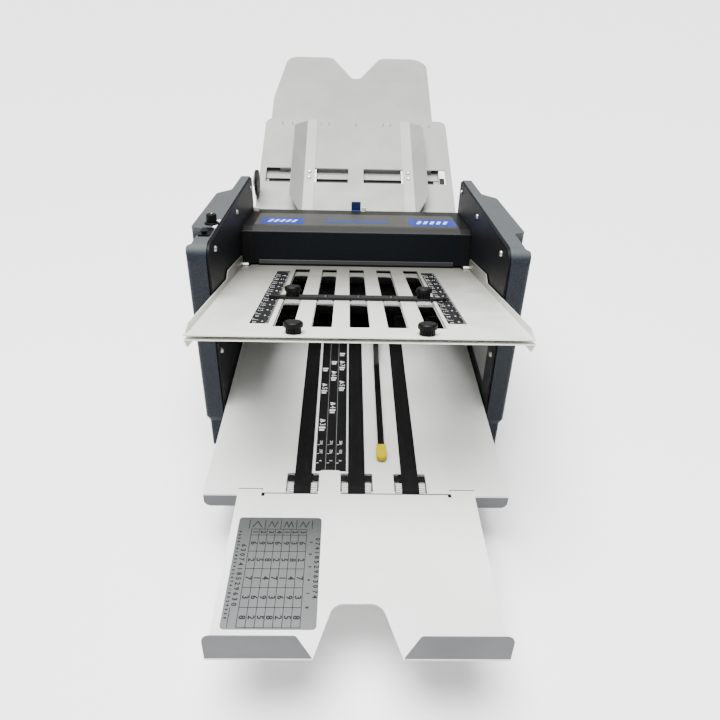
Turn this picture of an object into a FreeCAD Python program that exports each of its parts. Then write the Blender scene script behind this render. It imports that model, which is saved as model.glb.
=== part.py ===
import FreeCAD, Part
import math
import os

from FreeCAD import Placement, Rotation, Vector

# Table-top paper folding machine. Millimetres, X to the right as seen from the delivery end,
# Y from the delivery end to the feed end, Z up from the floor. Shapes are drawn with Y zero at the
# front edge of the conveyor plate, and written out with Y zero at the middle of the whole length.

# Overrun of every cut past the face that it opens
CUT = 5.0
# Clearance between pieces that sit against each other on different bodies
SEAT = 0.3
# Radial clearance of a shaft or a screw in its hole
RUN = 0.06

# Frame: two side plates joined by tie bars over a base pan
INNER_WIDTH = 356.0
PLATE_THICK = 3.0
FRAME_FRONT = 171.0
FRAME_REAR = 557.0
FRAME_TOP_FRONT = 313.0
FRAME_TOP_REAR = 275.0
FRAME_BOTTOM = 12.0
FRAME_FRONT_CORNER = 16.0
FRAME_CORNER = 6.0
TIE_RADIUS = 6.0
TIE_INSET = 25.0
TIE_HEIGHT = 30.0
TIE_MIDDLE_Y = 376.0
TIE_REAR_INSET = 11.0
TIE_REAR_HEIGHT = 142.0
BASE_THICK = 1.5
BASE_WALL = 18.0
FOOT_RADIUS = 11.0
FOOT_NECK = 7.0
FOOT_INSET_X = 20.0
FOOT_INSET_Y = 30.0

# Side covers: a front rim, a shallow recess, a proud middle panel and a narrower rear
COVER_WALL = 2.5
COVER_RIM = 24.0
COVER_RECESS = 18.0
COVER_BELLY = 33.0
COVER_REAR = 14.0
COVER_RIM_LENGTH = 11.0
COVER_RECESS_START = 15.0
COVER_RECESS_END = 74.0
COVER_BELLY_START = 80.0
COVER_BELLY_END = 262.0
COVER_REAR_START = 288.0
COVER_REAR_CORNER = 12.0
COVER_BELLY_CORNER = 14.0
COVER_LAP = 4.0
COVER_RISE = 2.0
COVER_CORNER = 7.0
COVER_FOOT_HEIGHT = 52.0
COVER_FOOT_STEP = 4.0
COVER_FOOT_TAPER = 5.0

# Plate screws with round heads on the inner faces, from the front top corner of the plate
SCREW_HEAD = 4.0
SCREW_HEAD_HEIGHT = 2.4
SCREW_SHANK = 2.0
SCREW_TOP_INSET = 15.0
SCREW_SHARES = (0.105, 0.57, 0.985)
SCREW_LOW = (14.0, 152.0)
SCREW_BASE = (40.0, 340.0)

# Fold rollers stacked in a shallow zigzag, the top one first
ROLLER_RADIUS = 14.8
ROLLER_END_GAP = 8.0
NIP = 0.4
JOURNAL_RADIUS = 5.0
BUSH_RADIUS = 9.0
BUSH_FLANGE = 11.5
BUSH_FLANGE_THICK = 2.0
BUSH_LENGTH = 5.0
NIP_ONE = (421.0, 177.6)
TILT_NIP_THREE = 15.0
GROOVE_WIDTH = 3.0
GROOVE_DEPTH = 0.8
GROOVE_COUNT = 7
GEAR_TEETH = 24
GEAR_WIDTH = 7.0
GEAR_ADDENDUM = 0.75
GEAR_DEDENDUM = 1.5
GEAR_ROOT_SHARE = 0.52
GEAR_TIP_SHARE = 0.24
GEAR_HUB_GAP = 0.8

# Front fold table: two slotted sheets, rising towards the front
TABLE_GAP = 2.0
TABLE_TILT = 14.7
TABLE_START = 14.6
SHEET_THICK = 1.2
SHEET_SPACE = 3.6
TABLE_SLOTS = 5
SLOT_WIDTH = 21.8
SLOT_PITCH = 40.5
SLOT_FRONT = 37.0
SLOT_LENGTH = 329.0
SLOT_SHORTER = 24.0
SLOT_REAR_MARGIN = 43.0
SLOT_CORNER = 2.0
FLANGE_LOW = 7.0
FLANGE_HIGH = 17.0
FLANGE_STEP_AT = 164.0
FLANGE_STEP_LENGTH = 12.0
FLANGE_CORNER = 16.0
FLANGE_DOWN = 10.0
HOOK_DEPTH = 25.0
HOOK_INSET = 12.0
STOP_AT = 167.0
STOP_PAST = 29.0
STOP_WIDTH = 16.0
STOP_THICK = 3.4
STOP_TIP = 24.0
STOP_TIP_WIDTH = 2.0
STOP_STRIP = 10.0
STOP_BLOCK = 17.0
RIVET_RADIUS = 3.5
RIVET_HEIGHT = 1.4
KNOB_RADIUS = 10.0
KNOB_WAIST = 8.2
KNOB_HEIGHT = 12.0
KNOB_CAP = 5.5
KNOB_CROWN = 1.6
KNOB_FLUTES = 16
KNOB_FLUTE_DEPTH = 0.7
KNOB_STUD = 2.6
TABLE_KNOB_X = 68.0
TABLE_KNOB_AT = 13.5
PIN_RADIUS = 4.5
PIN_REACH = 11.0
PIN_HOOK_GAP = 1.0
PIN_FRONT_AT = 223.0

# Rear fold table under the feed table, falling towards the back
REAR_TILT = 12.0
REAR_GAP = 8.0
REAR_START = 16.0
REAR_STOP_AT = 205.0
REAR_SLOT_FRONT = 60.0
REAR_SLOT_LENGTH = 210.0
REAR_SLOT_MARGIN = 30.0
REAR_PIN_HOLD = 9.0
REAR_PINS = (34.0, 112.0)

# Roller cover between the side plates, as a folded sheet
HOOD_GAP = 0.5
HOOD_FRONT_LOW = (395.5, 190.5)
HOOD_FRONT_TOP = (413.0, 236.0)
HOOD_CREST = (426.0, 239.5)
HOOD_REAR_TOP = (561.0, 217.5)
HOOD_REAR_DROP = 9.0
HOOD_WALL = 2.0
HOOD_ROUND = 3.0
HOOD_END_FRONT = 404.0
HOOD_END_REAR = 546.0
HOOD_END_LOW = 212.5
LIP_INSET = 26.0
LIP_DEPTH = 3.0
LIP_DROP = 1.2
LIP_RISE = 5.5

# Feed roller on its shaft above a retard pad
FEED_RADIUS = 18.0
FEED_SHAFT_RADIUS = 5.0
FEED_SHAFT_AT = (528.0, 198.0)
FEED_TYRE_LENGTH = 34.0
FEED_TYRE_X = (-75.0, 0.0, 75.0)
FEED_CORE = 12.5
FEED_RIBS = 6
FEED_RIB_DEPTH = 1.0
RETARD_WIDTH = 34.0
RETARD_DEPTH = 30.0
RETARD_BLOCK = 9.0
RETARD_PAD = 3.0
RETARD_CHEEK = 3.0
LEVER_WIDTH = 16.5
LEVER_THICK = 3.2
RETARD_BAR = 16.0
GUIDE_SHEET_GAP = 13.0
GUIDE_SHEET_FRONT = (441.0, 174.5)
GUIDE_SHEET_KNEE = (503.0, 171.5)
LEVER_PIVOT = (566.5, 207.0)
LEVER_TOP = 231.0
LEVER_BOSS = 4.5
LEVER_PIN = 2.0
CAP_RADIUS = 5.5
CAP_Y = 546.0
CAP_HEIGHT = 6.0
NUB_RADIUS = 3.5
NUB_LENGTH = 8.0

# Feed table rising towards the back, with two slots for the side guides
FEED_TILT = 22.8
FEED_ORIGIN = (545.0, 185.8)
FEED_LENGTH = 314.6
FEED_PAST = 3.0
FEED_NECK_GAP = 3.5
FEED_NECK_EXTRA = 6.0
FEED_THICK = 1.5
FEED_FLANGE = 11.0
FEED_CORNER = 16.0
FEED_SLOT_AT = 125.0
FEED_SLOT_DEPTH = 40.0
FEED_SLOT_MARGIN = 12.0
FEED_SLOT_MIDDLE = 28.5
FEED_NOTCH_WIDTH = 46.0
FEED_NOTCH_DEPTH = 34.0
ARM_THICK = 2.0
ARM_DEPTH = 18.0
ARM_LENGTH = 176.0
ARM_FOOT = 40.0
ARM_FRONT = 12.0
EAR_HEIGHT = 60.0
EAR_WIDTH = 22.0
EAR_AT = 92.0
DIAL_RADIUS = 22.5
DIAL_THICK = 5.0
DIAL_HUB = 4.0
DIAL_RIDGES = 36
DIAL_RIDGE = 0.8
DIAL_RISE = 2.5

# Table extension for long sheets, sliding below the feed table
EXT_LEFT_GAP = 8.5
EXT_RIGHT_GAP = 24.5
EXT_THICK = 1.2
EXT_BELOW = 9.0
EXT_START = 145.0
EXT_END = 550.0
EXT_CORNER = 38.0
EXT_LEFT_CORNER = 26.0
EXT_LEFT_TAPER = 22.0
EXT_LEFT_TAPER_LENGTH = 150.0
EXT_LEFT_ROUND = 120.0
EXT_NOTCH_MOUTH = 106.0
EXT_NOTCH_FLOOR = 18.0
EXT_NOTCH_DEPTH = 79.0
EXT_NOTCH_ROUND = 10.0
RUNNER_THICK = 1.5
RUNNER_HOOK = 9.0
RUNNER_START = 44.0

# Side guides: angle plates clamped in the slots of the feed table
GUIDE_SPAN = 206.0
GUIDE_SHIFT = 5.5
GUIDE_LEG = 20.0
GUIDE_THICK = 1.2
GUIDE_HEIGHT = 24.0
GUIDE_FLARE = 22.0
GUIDE_BEND = 2.0
GUIDE_START = 36.0
GUIDE_END = 311.0
GUIDE_FRONT_CUT = 36.0
GUIDE_REAR_CUT = 60.0
GUIDE_CORNER = 6.0
GUIDE_SCREW_HEAD = 4.0
GUIDE_SCREW_RISE = 2.0
GUIDE_SCREW_SHANK = 2.0
GUIDE_WASHER = 8.0
GUIDE_WASHER_THICK = 2.0
GUIDE_WASHER_EDGE = 13.0

# Conveyor: a plate with downturned edges, two rollers and three flat belts
PLATE_GAP = 2.0
PLATE_TOP = 84.0
PLATE_LENGTH = 376.0
PLATE_SHEET = 1.5
PLATE_FLANGE = 19.0
PLATE_CORNER = 8.0
BELT_COUNT = 3
BELT_PITCH = 63.0
BELT_WIDTH = 20.0
BELT_THICK = 1.1
WHEEL_RADIUS = 13.0
WHEEL_WIDTH = 34.0
WHEEL_RIBS = 30
WHEEL_RIB = 0.5
POCKET_WIDTH = 38.0
POCKET_LENGTH = 36.0
POCKET_CORNER = 2.0
POCKET_MARGIN = 6.0
FRONT_AXLE_Y = 14.6
REAR_AXLE_INSET = 17.0
CONVEYOR_SCREW_BACK = 24.0
CONVEYOR_SCREW_SHARES = (0.4, 1.0)
AXLE_RADIUS = 4.0
CLIP_WIDTH = 25.0
CLIP_LENGTH = 40.0
CLIP_CORNER = 4.0
CLIP_THICK = 1.0

# Hold-down strip hanging from a rod over the delivery belts
STRIP_X = 31.0
STRIP_WIDTH = 8.0
STRIP_THICK = 1.4
STRIP_END = 62.0
STRIP_FLAT = 262.0
STRIP_RISE = 4.5
ROD_AT = (383.0, 127.0)
ROD_RADIUS = 4.0
EYE_WALL = 2.2
TIP_WIDTH = 12.5
TIP_LENGTH = 26.0
TIP_HEIGHT = 7.0

# Stacker tray hooked on the front edge of the conveyor plate
TRAY_INSET = 40.0
TRAY_FRONT = -205.0
TRAY_THICK = 1.2
TRAY_SKIRT = 17.0
TRAY_TAB_WIDTH = 27.0
TRAY_TAB_REACH = 7.0
TRAY_TOOTH = 9.0
TRAY_TOOTH_WIDTH = 15.0
TRAY_NICK = 4.0
LIP_HEIGHT = 34.0
LIP_INNER = 40.5
LIP_SLANT = 14.0
LIP_CORNER = 8.0
NOTCH_FLOOR = 46.0
NOTCH_DEPTH = 58.0
NOTCH_ROUND = 14.0

# Motor and belts
MOTOR_AT = (492.0, 82.0)
MOTOR_RADIUS = 31.0
MOTOR_LENGTH = 108.0
MOTOR_NECK = 20.0
MOTOR_FINS = 9
MOTOR_FIN_DEPTH = 2.0
MOTOR_SHAFT = 4.0
MOTOR_PULLEY = 11.0
DRIVE_PULLEY = 14.0
PULLEY_FLANGE = 1.4
PULLEY_FLANGE_THICK = 0.8
PULLEY_GAP = 0.5
FEED_PULLEY = 15.0
FEED_DRIVE_PULLEY = 9.0
DELIVERY_PULLEY = 9.0
LOOP_THICK = 1.5
LOOP_WIDTH = 4.0

# Mains inlet, control board and the controls on the left cover
INLET_WIDTH = 28.0
INLET_HEIGHT = 22.0
INLET_DEPTH = 22.0
INLET_SIDE = 68.0
INLET_Z = 52.0
INLET_FLANGE = 4.0
INLET_WALL = 2.5
INLET_RECESS = 16.0
INLET_PIN_WIDTH = 2.0
INLET_PIN_HEIGHT = 4.0
INLET_PIN_PITCH = 6.0
PANEL_HEIGHT = 84.0
BOARD_WIDTH = 110.0
BOARD_DEPTH = 74.0
BOARD_THICK = 1.6
BOARD_SIDE = 28.0
BOARD_Y = 470.0
BOARD_STAND = 8.0
BOARD_STAND_RADIUS = 3.0
SWITCH_WIDTH = 15.0
SWITCH_LENGTH = 33.0
SWITCH_FLANGE = 2.0
SWITCH_BODY_DEPTH = 16.0
SWITCH_WALL = 2.0
SWITCH_AT = 51.0
CONTROL_INSET = 9.0
ROCKER_TILT = 9.0
DIAL_AT = 91.0
SPEED_RADIUS = 6.6
SPEED_SKIRT = 9.4
SPEED_SKIRT_HEIGHT = 2.0
SPEED_HEIGHT = 12.5
SPEED_FLUTES = 12
SPEED_FLUTE_RADIUS = 0.9
SPEED_SHAFT = 2.5

# Widths that follow from the space between the side plates
ROLLER_LENGTH = INNER_WIDTH - 2 * ROLLER_END_GAP
TABLE_WIDTH = INNER_WIDTH - 2 * TABLE_GAP
REAR_WIDTH = INNER_WIDTH - 2 * REAR_GAP
REAR_PIN_REACH = REAR_GAP + REAR_PIN_HOLD
HOOK_X = TABLE_WIDTH / 2 - HOOK_INSET
HOOD_WIDTH = INNER_WIDTH - 2 * HOOD_GAP
LIP_WIDTH = HOOD_WIDTH - 2 * LIP_INSET
GUIDE_SHEET_WIDTH = INNER_WIDTH - 2 * GUIDE_SHEET_GAP
FEED_WIDTH = INNER_WIDTH + 2 * FEED_PAST
FEED_NECK_WIDTH = INNER_WIDTH - 2 * FEED_NECK_GAP
FEED_SLOT_END = FEED_WIDTH / 2 - FEED_SLOT_MARGIN
EXT_WIDTH = FEED_WIDTH - EXT_LEFT_GAP - EXT_RIGHT_GAP
EXT_OFFSET = (EXT_LEFT_GAP - EXT_RIGHT_GAP) / 2
PLATE_WIDTH = INNER_WIDTH - 2 * PLATE_GAP
TRAY_WIDTH = PLATE_WIDTH - 2 * TRAY_INSET
INLET_X = INLET_SIDE - INNER_WIDTH / 2
BOARD_X = BOARD_SIDE + BOARD_WIDTH / 2 - INNER_WIDTH / 2
CONTROL_X = INNER_WIDTH / 2 + PLATE_THICK + CONTROL_INSET

# Lengths and places that follow from the slots, the rollers and the frame
TABLE_LENGTH = SLOT_FRONT + SLOT_LENGTH + SLOT_REAR_MARGIN
REAR_LENGTH = REAR_SLOT_FRONT + REAR_SLOT_LENGTH + REAR_SLOT_MARGIN
HOOK_AT = TABLE_LENGTH - HOOK_DEPTH
FLANGE_STEP = TABLE_LENGTH - FLANGE_STEP_AT
STOP_SPAN = (TABLE_SLOTS - 1) * SLOT_PITCH + 2 * STOP_PAST
REAR_AXLE_Y = PLATE_LENGTH - REAR_AXLE_INSET
TIE_FRONT = (FRAME_FRONT + TIE_INSET, FRAME_BOTTOM + TIE_HEIGHT)
TIE_MIDDLE = (TIE_MIDDLE_Y, FRAME_BOTTOM + TIE_HEIGHT)
TIE_REAR = (FRAME_REAR - TIE_REAR_INSET, FRAME_BOTTOM + TIE_REAR_HEIGHT)

# Middle of the whole length, from the tray's front to the end of the extension
EXT_REACH = (EXT_END * math.cos(math.radians(FEED_TILT))
             + (EXT_BELOW + EXT_THICK) * math.sin(math.radians(FEED_TILT)))
MIDDLE_Y = (TRAY_FRONT + FEED_ORIGIN[0] + EXT_REACH) / 2

ALONG_X = Rotation(Vector(0, 1, 0), Vector(0, 0, 1), Vector(1, 0, 0), "XYZ")
ALONG_Y = Rotation(Vector(-1, 0, 0), Vector(0, 0, 1), Vector(0, 1, 0), "XYZ")
# The longest share of an edge that one rounded corner may take
CORNER_SHARE = 0.49


def box(x0, x1, y0, y1, z0, z1):
    return Part.makeBox(x1 - x0, y1 - y0, z1 - z0, Vector(x0, y0, z0))


def rod_x(radius, x0, x1, y, z):
    return Part.makeCylinder(radius, x1 - x0, Vector(x0, y, z), Vector(1, 0, 0))


def rod_z(radius, x, y, z0, z1):
    return Part.makeCylinder(radius, z1 - z0, Vector(x, y, z0), Vector(0, 0, 1))


def union(shapes):
    whole = shapes[0]
    if len(shapes) > 1:
        whole = whole.multiFuse(shapes[1:])
    return whole.removeSplitter()


def group(shapes):
    return Part.makeCompound(shapes)


def corner(before, at, after, radius):
    # The two ends and the middle of a rounded corner, or one point three times for a sharp one
    to_before = before - at
    to_after = after - at
    half = to_before.getAngle(to_after) / 2
    if radius <= 0 or math.cos(half) < 1e-6:
        return at, at, at
    reach = min(radius / math.tan(half), CORNER_SHARE * to_before.Length, CORNER_SHARE * to_after.Length)
    radius = reach * math.tan(half)
    to_before.normalize()
    to_after.normalize()
    inward = to_before + to_after
    inward.normalize()
    middle = at + inward * (radius / math.sin(half) - radius)
    return at + to_before * reach, middle, at + to_after * reach


def outline(points):
    # A flat face in the XY plane from corners (a, b) or (a, b, radius)
    places = [Vector(p[0], p[1], 0) for p in points]
    radii = [p[2] if len(p) > 2 else 0 for p in points]
    corners = []
    for index, place in enumerate(places):
        after = places[(index + 1) % len(places)]
        corners.append(corner(places[index - 1], place, after, radii[index]))
    edges = []
    for index, (start, middle, end) in enumerate(corners):
        if (end - start).Length > 1e-6:
            edges.append(Part.Arc(start, middle, end).toShape())
        following = corners[(index + 1) % len(corners)][0]
        if (following - end).Length > 1e-6:
            edges.append(Part.LineSegment(end, following).toShape())
    return Part.Face(Part.Wire(edges))


def extrude_x(points, x0, x1):
    # Corners are given as (y, z)
    face = outline(points)
    face.Placement = Placement(Vector(x0, 0, 0), ALONG_X)
    return face.extrude(Vector(x1 - x0, 0, 0))


def extrude_y(points, y0, y1):
    # Corners are given as (x, z)
    face = outline([(-p[0],) + tuple(p[1:]) for p in points])
    face.Placement = Placement(Vector(0, y0, 0), ALONG_Y)
    return face.extrude(Vector(0, y1 - y0, 0))


def extrude_z(points, z0, z1):
    face = outline(points)
    face.translate(Vector(0, 0, z0))
    return face.extrude(Vector(0, 0, z1 - z0))


def ribbon(path, thick):
    # The corners of a folded sheet's section: the path, and the same path moved to its left
    places = [Vector(p[0], p[1], 0) for p in path]
    radii = [p[2] if len(p) > 2 else 0 for p in path]
    near = []
    far = []
    for index, place in enumerate(places):
        ahead = places[min(index + 1, len(places) - 1)] - places[min(index, len(places) - 2)]
        behind = places[max(index, 1)] - places[max(index - 1, 0)]
        ahead.normalize()
        behind.normalize()
        left_ahead = Vector(-ahead.y, ahead.x, 0)
        left_behind = Vector(-behind.y, behind.x, 0)
        miter = left_ahead + left_behind
        shift = miter * (2 * thick / miter.dot(miter))
        turn = behind.cross(ahead).z
        moved = radii[index] + thick if turn < 0 else max(radii[index] - thick, 0)
        near.append((place.x, place.y, radii[index]))
        far.append((place.x + shift.x, place.y + shift.y, moved if radii[index] > 0 else 0))
    return near + far[::-1]


def revolve_z(points, x, y):
    # Corners are given as (radius, z) round an upright axis at x, y
    face = outline(points)
    face.rotate(Vector(0, 0, 0), Vector(1, 0, 0), 90)
    solid = face.revolve(Vector(0, 0, 0), Vector(0, 0, 1), 360)
    solid.translate(Vector(x, y, 0))
    return solid


def revolve_x(points, y, z):
    # Corners are given as (x, radius) round a level axis along X at y, z
    face = outline(points)
    solid = face.revolve(Vector(0, 0, 0), Vector(1, 0, 0), 360)
    solid.translate(Vector(0, y, z))
    return solid


def tilted(shape, origin, angle):
    # From a table's own flat frame to the machine: turned about X, then moved to (y, z)
    moved = shape.copy()
    moved.rotate(Vector(0, 0, 0), Vector(1, 0, 0), angle)
    moved.translate(Vector(0, origin[0], origin[1]))
    return moved


def mirrored(shape):
    return shape.mirror(Vector(0, 0, 0), Vector(1, 0, 0))


def on_circle(radius, angle):
    return radius * math.cos(math.radians(angle)), radius * math.sin(math.radians(angle))


def loop_belt(first, second, first_radius, second_radius, thick, x0, x1):
    # An open belt round two pulleys, each place given as (y, z)
    a = Vector(first[0], first[1], 0)
    b = Vector(second[0], second[1], 0)
    span = b - a
    along = math.degrees(math.atan2(span.y, span.x))

    def ring(extra):
        ra = first_radius + extra
        rb = second_radius + extra
        lean = math.degrees(math.acos((ra - rb) / span.Length))
        ends = []
        for centre, radius, side in ((a, ra, 1), (b, rb, 1), (b, rb, -1), (a, ra, -1)):
            y, z = on_circle(radius, along + side * lean)
            ends.append(centre + Vector(y, z, 0))
        far_y, far_z = on_circle(rb, along)
        near_y, near_z = on_circle(ra, along + 180)
        edges = [Part.LineSegment(ends[0], ends[1]).toShape(),
                 Part.Arc(ends[1], b + Vector(far_y, far_z, 0), ends[2]).toShape(),
                 Part.LineSegment(ends[2], ends[3]).toShape(),
                 Part.Arc(ends[3], a + Vector(near_y, near_z, 0), ends[0]).toShape()]
        return Part.Face(Part.Wire(edges))

    face = ring(thick).cut(ring(0))
    face.Placement = Placement(Vector(x0, 0, 0), ALONG_X).multiply(face.Placement)
    return face.extrude(Vector(x1 - x0, 0, 0))


PLATE_OUTER = INNER_WIDTH / 2 + PLATE_THICK
FRAME_LENGTH = FRAME_REAR - FRAME_FRONT
TOP_SLOPE = (FRAME_TOP_FRONT - FRAME_TOP_REAR) / FRAME_LENGTH
TOP_ANGLE = math.degrees(math.atan(TOP_SLOPE))
GEAR_PHASE = 180.0 / GEAR_TEETH
ROLLER_PITCH = 2 * ROLLER_RADIUS + NIP


def top_height(y):
    return FRAME_TOP_FRONT - TOP_SLOPE * (y - FRAME_FRONT)


def step_from(place, distance, angle):
    y, z = on_circle(distance, angle)
    return place[0] + y, place[1] + z


# Roller axes: each nip is square to the path that the sheet takes through it
ROLLER_ONE = step_from(NIP_ONE, ROLLER_PITCH / 2, 90 - TABLE_TILT)
ROLLER_TWO = step_from(NIP_ONE, ROLLER_PITCH / 2, 270 - TABLE_TILT)
ROLLER_THREE = step_from(ROLLER_TWO, ROLLER_PITCH, 270 - REAR_TILT)
ROLLER_FOUR = step_from(ROLLER_THREE, ROLLER_PITCH, 270 + TILT_NIP_THREE)
ROLLER_AXES = (ROLLER_ONE, ROLLER_TWO, ROLLER_THREE, ROLLER_FOUR)
NIP_TWO = ((ROLLER_TWO[0] + ROLLER_THREE[0]) / 2, (ROLLER_TWO[1] + ROLLER_THREE[1]) / 2)
REAR_AXLE = (REAR_AXLE_Y, PLATE_TOP - WHEEL_RADIUS)
FRONT_AXLE = (FRONT_AXLE_Y, PLATE_TOP - WHEEL_RADIUS)
BUSHED_AXES = ROLLER_AXES + (FEED_SHAFT_AT, REAR_AXLE)
CONVEYOR_SCREW_SPAN = REAR_AXLE_Y - CONVEYOR_SCREW_BACK - FRAME_FRONT
CONVEYOR_SCREWS = [(FRAME_FRONT + share * CONVEYOR_SCREW_SPAN, PLATE_TOP - PLATE_FLANGE / 2)
                   for share in CONVEYOR_SCREW_SHARES]


def frame_section(grow, rise, lift):
    # The side view of a side plate, grown past its front and rear edges and above its top
    front = FRAME_FRONT - grow
    rear = FRAME_REAR + grow
    return [(front, FRAME_BOTTOM + lift, FRAME_CORNER), (rear, FRAME_BOTTOM + lift, FRAME_CORNER),
            (rear, top_height(rear) + rise, FRAME_CORNER + max(grow, 0)),
            (front, top_height(front) + rise, FRAME_FRONT_CORNER + max(grow, 0))]


def top_screws():
    # Places along the sloping top edge of a side plate, and one low at its front
    places = []
    for share in SCREW_SHARES:
        y = FRAME_FRONT + share * (FRAME_LENGTH - SCREW_TOP_INSET)
        places.append((y, top_height(y) - SCREW_TOP_INSET))
    places.append((FRAME_FRONT + SCREW_LOW[0], FRAME_TOP_FRONT - SCREW_LOW[1]))
    for distance in SCREW_BASE:
        places.append((FRAME_FRONT + distance, FRAME_BOTTOM + BASE_WALL / 2))
    return places


def tie_places():
    return (TIE_FRONT, TIE_MIDDLE, TIE_REAR)


def side_plate(side):
    # The right plate, mirrored for the left; only the right one lets the motor shaft through
    inner = INNER_WIDTH / 2
    plate = extrude_x(frame_section(0, 0, 0), inner, PLATE_OUTER)
    holes = []
    for place in BUSHED_AXES:
        holes.append(rod_x(BUSH_RADIUS, inner - CUT, PLATE_OUTER + CUT, place[0], place[1]))
    for place in top_screws() + CONVEYOR_SCREWS + [ROD_AT] + list(tie_places()):
        holes.append(rod_x(SCREW_SHANK + RUN, inner - CUT, PLATE_OUTER + CUT, place[0], place[1]))
    if side > 0:
        holes.append(rod_x(MOTOR_NECK / 2 + SEAT, inner - CUT, PLATE_OUTER + CUT, MOTOR_AT[0], MOTOR_AT[1]))
    plate = plate.cut(group(holes))
    return plate if side > 0 else mirrored(plate)


def cover_plan(shrink):
    # The right cover seen from above, from its open inner side outwards, shrunk by a wall or a step
    inner = PLATE_OUTER
    front = FRAME_FRONT - COVER_LAP
    rear = FRAME_REAR + COVER_LAP - shrink
    rim = inner + COVER_RIM - shrink
    recess = inner + COVER_RECESS - shrink
    belly = inner + COVER_BELLY - shrink
    back = inner + COVER_REAR - shrink
    return [(inner, front + shrink),
            (rim, front + shrink, COVER_CORNER),
            (rim, front + COVER_RIM_LENGTH, COVER_CORNER / 2),
            (recess, front + COVER_RECESS_START, COVER_CORNER / 2),
            (recess, front + COVER_RECESS_END, COVER_CORNER / 2),
            (belly, front + COVER_BELLY_START + shrink, COVER_CORNER),
            (belly, front + COVER_BELLY_END - shrink, COVER_BELLY_CORNER),
            (back, front + COVER_REAR_START - shrink, COVER_BELLY_CORNER),
            (back, rear, COVER_REAR_CORNER),
            (inner, rear)]


def cover_form(shrink):
    # The cover's whole form: a stepped foot under a wider body, cut to the side view
    low = FRAME_BOTTOM - CUT
    crease = FRAME_BOTTOM + COVER_FOOT_HEIGHT
    high = FRAME_TOP_FRONT + CUT
    bevel = COVER_FOOT_STEP + COVER_FOOT_TAPER
    narrow = outline(cover_plan(shrink + COVER_FOOT_STEP)).OuterWire
    narrow.translate(Vector(0, 0, crease - bevel))
    wide = outline(cover_plan(shrink)).OuterWire
    wide.translate(Vector(0, 0, crease))
    parts = [extrude_z(cover_plan(shrink + COVER_FOOT_STEP), low, crease - bevel),
             Part.makeLoft([narrow, wide], True, True),
             extrude_z(cover_plan(shrink), crease, high)]
    reach = PLATE_OUTER + COVER_BELLY + CUT
    side_view = frame_section(COVER_LAP - shrink, COVER_RISE - shrink, shrink)
    section = extrude_x(side_view, PLATE_OUTER - CUT, reach)
    return union(parts).common(section)


def side_cover(side):
    cover = cover_form(0).cut(cover_form(COVER_WALL))
    if side > 0:
        return cover
    cover = mirrored(cover)
    return cover.cut(group([control_place(switch_hole(), SWITCH_AT), control_place(speed_hole(), DIAL_AT)]))


def base_pan():
    # A pan with a low front wall and a high rear panel that carries the mains inlet
    half = INNER_WIDTH / 2 - SEAT
    front = FRAME_FRONT + COVER_CORNER
    rear = FRAME_REAR - COVER_LAP
    path = [(front, FRAME_BOTTOM + BASE_WALL), (front, FRAME_BOTTOM, BASE_THICK * 2),
            (rear, FRAME_BOTTOM, BASE_THICK * 2), (rear, FRAME_BOTTOM + PANEL_HEIGHT)]
    pan = extrude_x(ribbon(path, BASE_THICK), -half, half)
    for side in (-1, 1):
        wall = half - BASE_THICK
        x0, x1 = sorted((side * half, side * wall))
        pan = pan.fuse(box(x0, x1, front + BASE_THICK * 3, rear - BASE_THICK * 3,
                           FRAME_BOTTOM, FRAME_BOTTOM + BASE_WALL))
    cuts = [box(INLET_X - INLET_WIDTH / 2, INLET_X + INLET_WIDTH / 2, rear - CUT, rear + CUT,
                INLET_Z - INLET_HEIGHT / 2, INLET_Z + INLET_HEIGHT / 2)]
    for place in foot_places():
        cuts.append(rod_z(FOOT_NECK, place[0], place[1], FRAME_BOTTOM - CUT, FRAME_BOTTOM + CUT))
    for place in top_screws():
        cuts.append(rod_x(SCREW_SHANK + RUN, -PLATE_OUTER, PLATE_OUTER, place[0], place[1]))
    return pan.cut(group(cuts)).removeSplitter()


def foot_places():
    half = INNER_WIDTH / 2 - FOOT_INSET_X
    return [(x, y) for x in (-half, half) for y in (FRAME_FRONT + FOOT_INSET_Y, FRAME_REAR - FOOT_INSET_Y)]


def rubber_feet():
    # Each foot has a round sole and a neck pressed through the pan with a bead above it
    feet = []
    for x, y in foot_places():
        top = FRAME_BOTTOM + BASE_THICK
        bead = FOOT_NECK + BASE_THICK
        feet.append(revolve_z([(0, 0), (FOOT_RADIUS, 0, BASE_THICK),
                               (FOOT_RADIUS + BASE_THICK, FRAME_BOTTOM),
                               (FOOT_NECK, FRAME_BOTTOM), (FOOT_NECK, top), (bead, top),
                               (FOOT_NECK, top + BASE_THICK * 2), (0, top + BASE_THICK * 2)], x, y))
    return group(feet)


def tie_bars():
    # Round bars between the side plates, the last one being the rod of the hold-down strip
    half = INNER_WIDTH / 2
    bars = []
    for y, z in tie_places():
        bars.append(rod_x(TIE_RADIUS, -half, half, y, z))
    bars.append(rod_x(ROD_RADIUS, -half, half, ROD_AT[0], ROD_AT[1]))
    return group(bars)


def round_screw(x_face, x_end, place):
    # A round-headed screw along X: its head stands on x_face, away from x_end
    way = 1 if x_end > x_face else -1
    head = revolve_x([(x_face, 0), (x_face - way * SCREW_HEAD_HEIGHT, 0),
                      (x_face - way * SCREW_HEAD_HEIGHT, SCREW_HEAD * 0.75, SCREW_HEAD_HEIGHT / 2),
                      (x_face, SCREW_HEAD)], place[0], place[1])
    low, high = sorted((x_face, x_end))
    return head.fuse(rod_x(SCREW_SHANK, low, high, place[0], place[1]))


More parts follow.
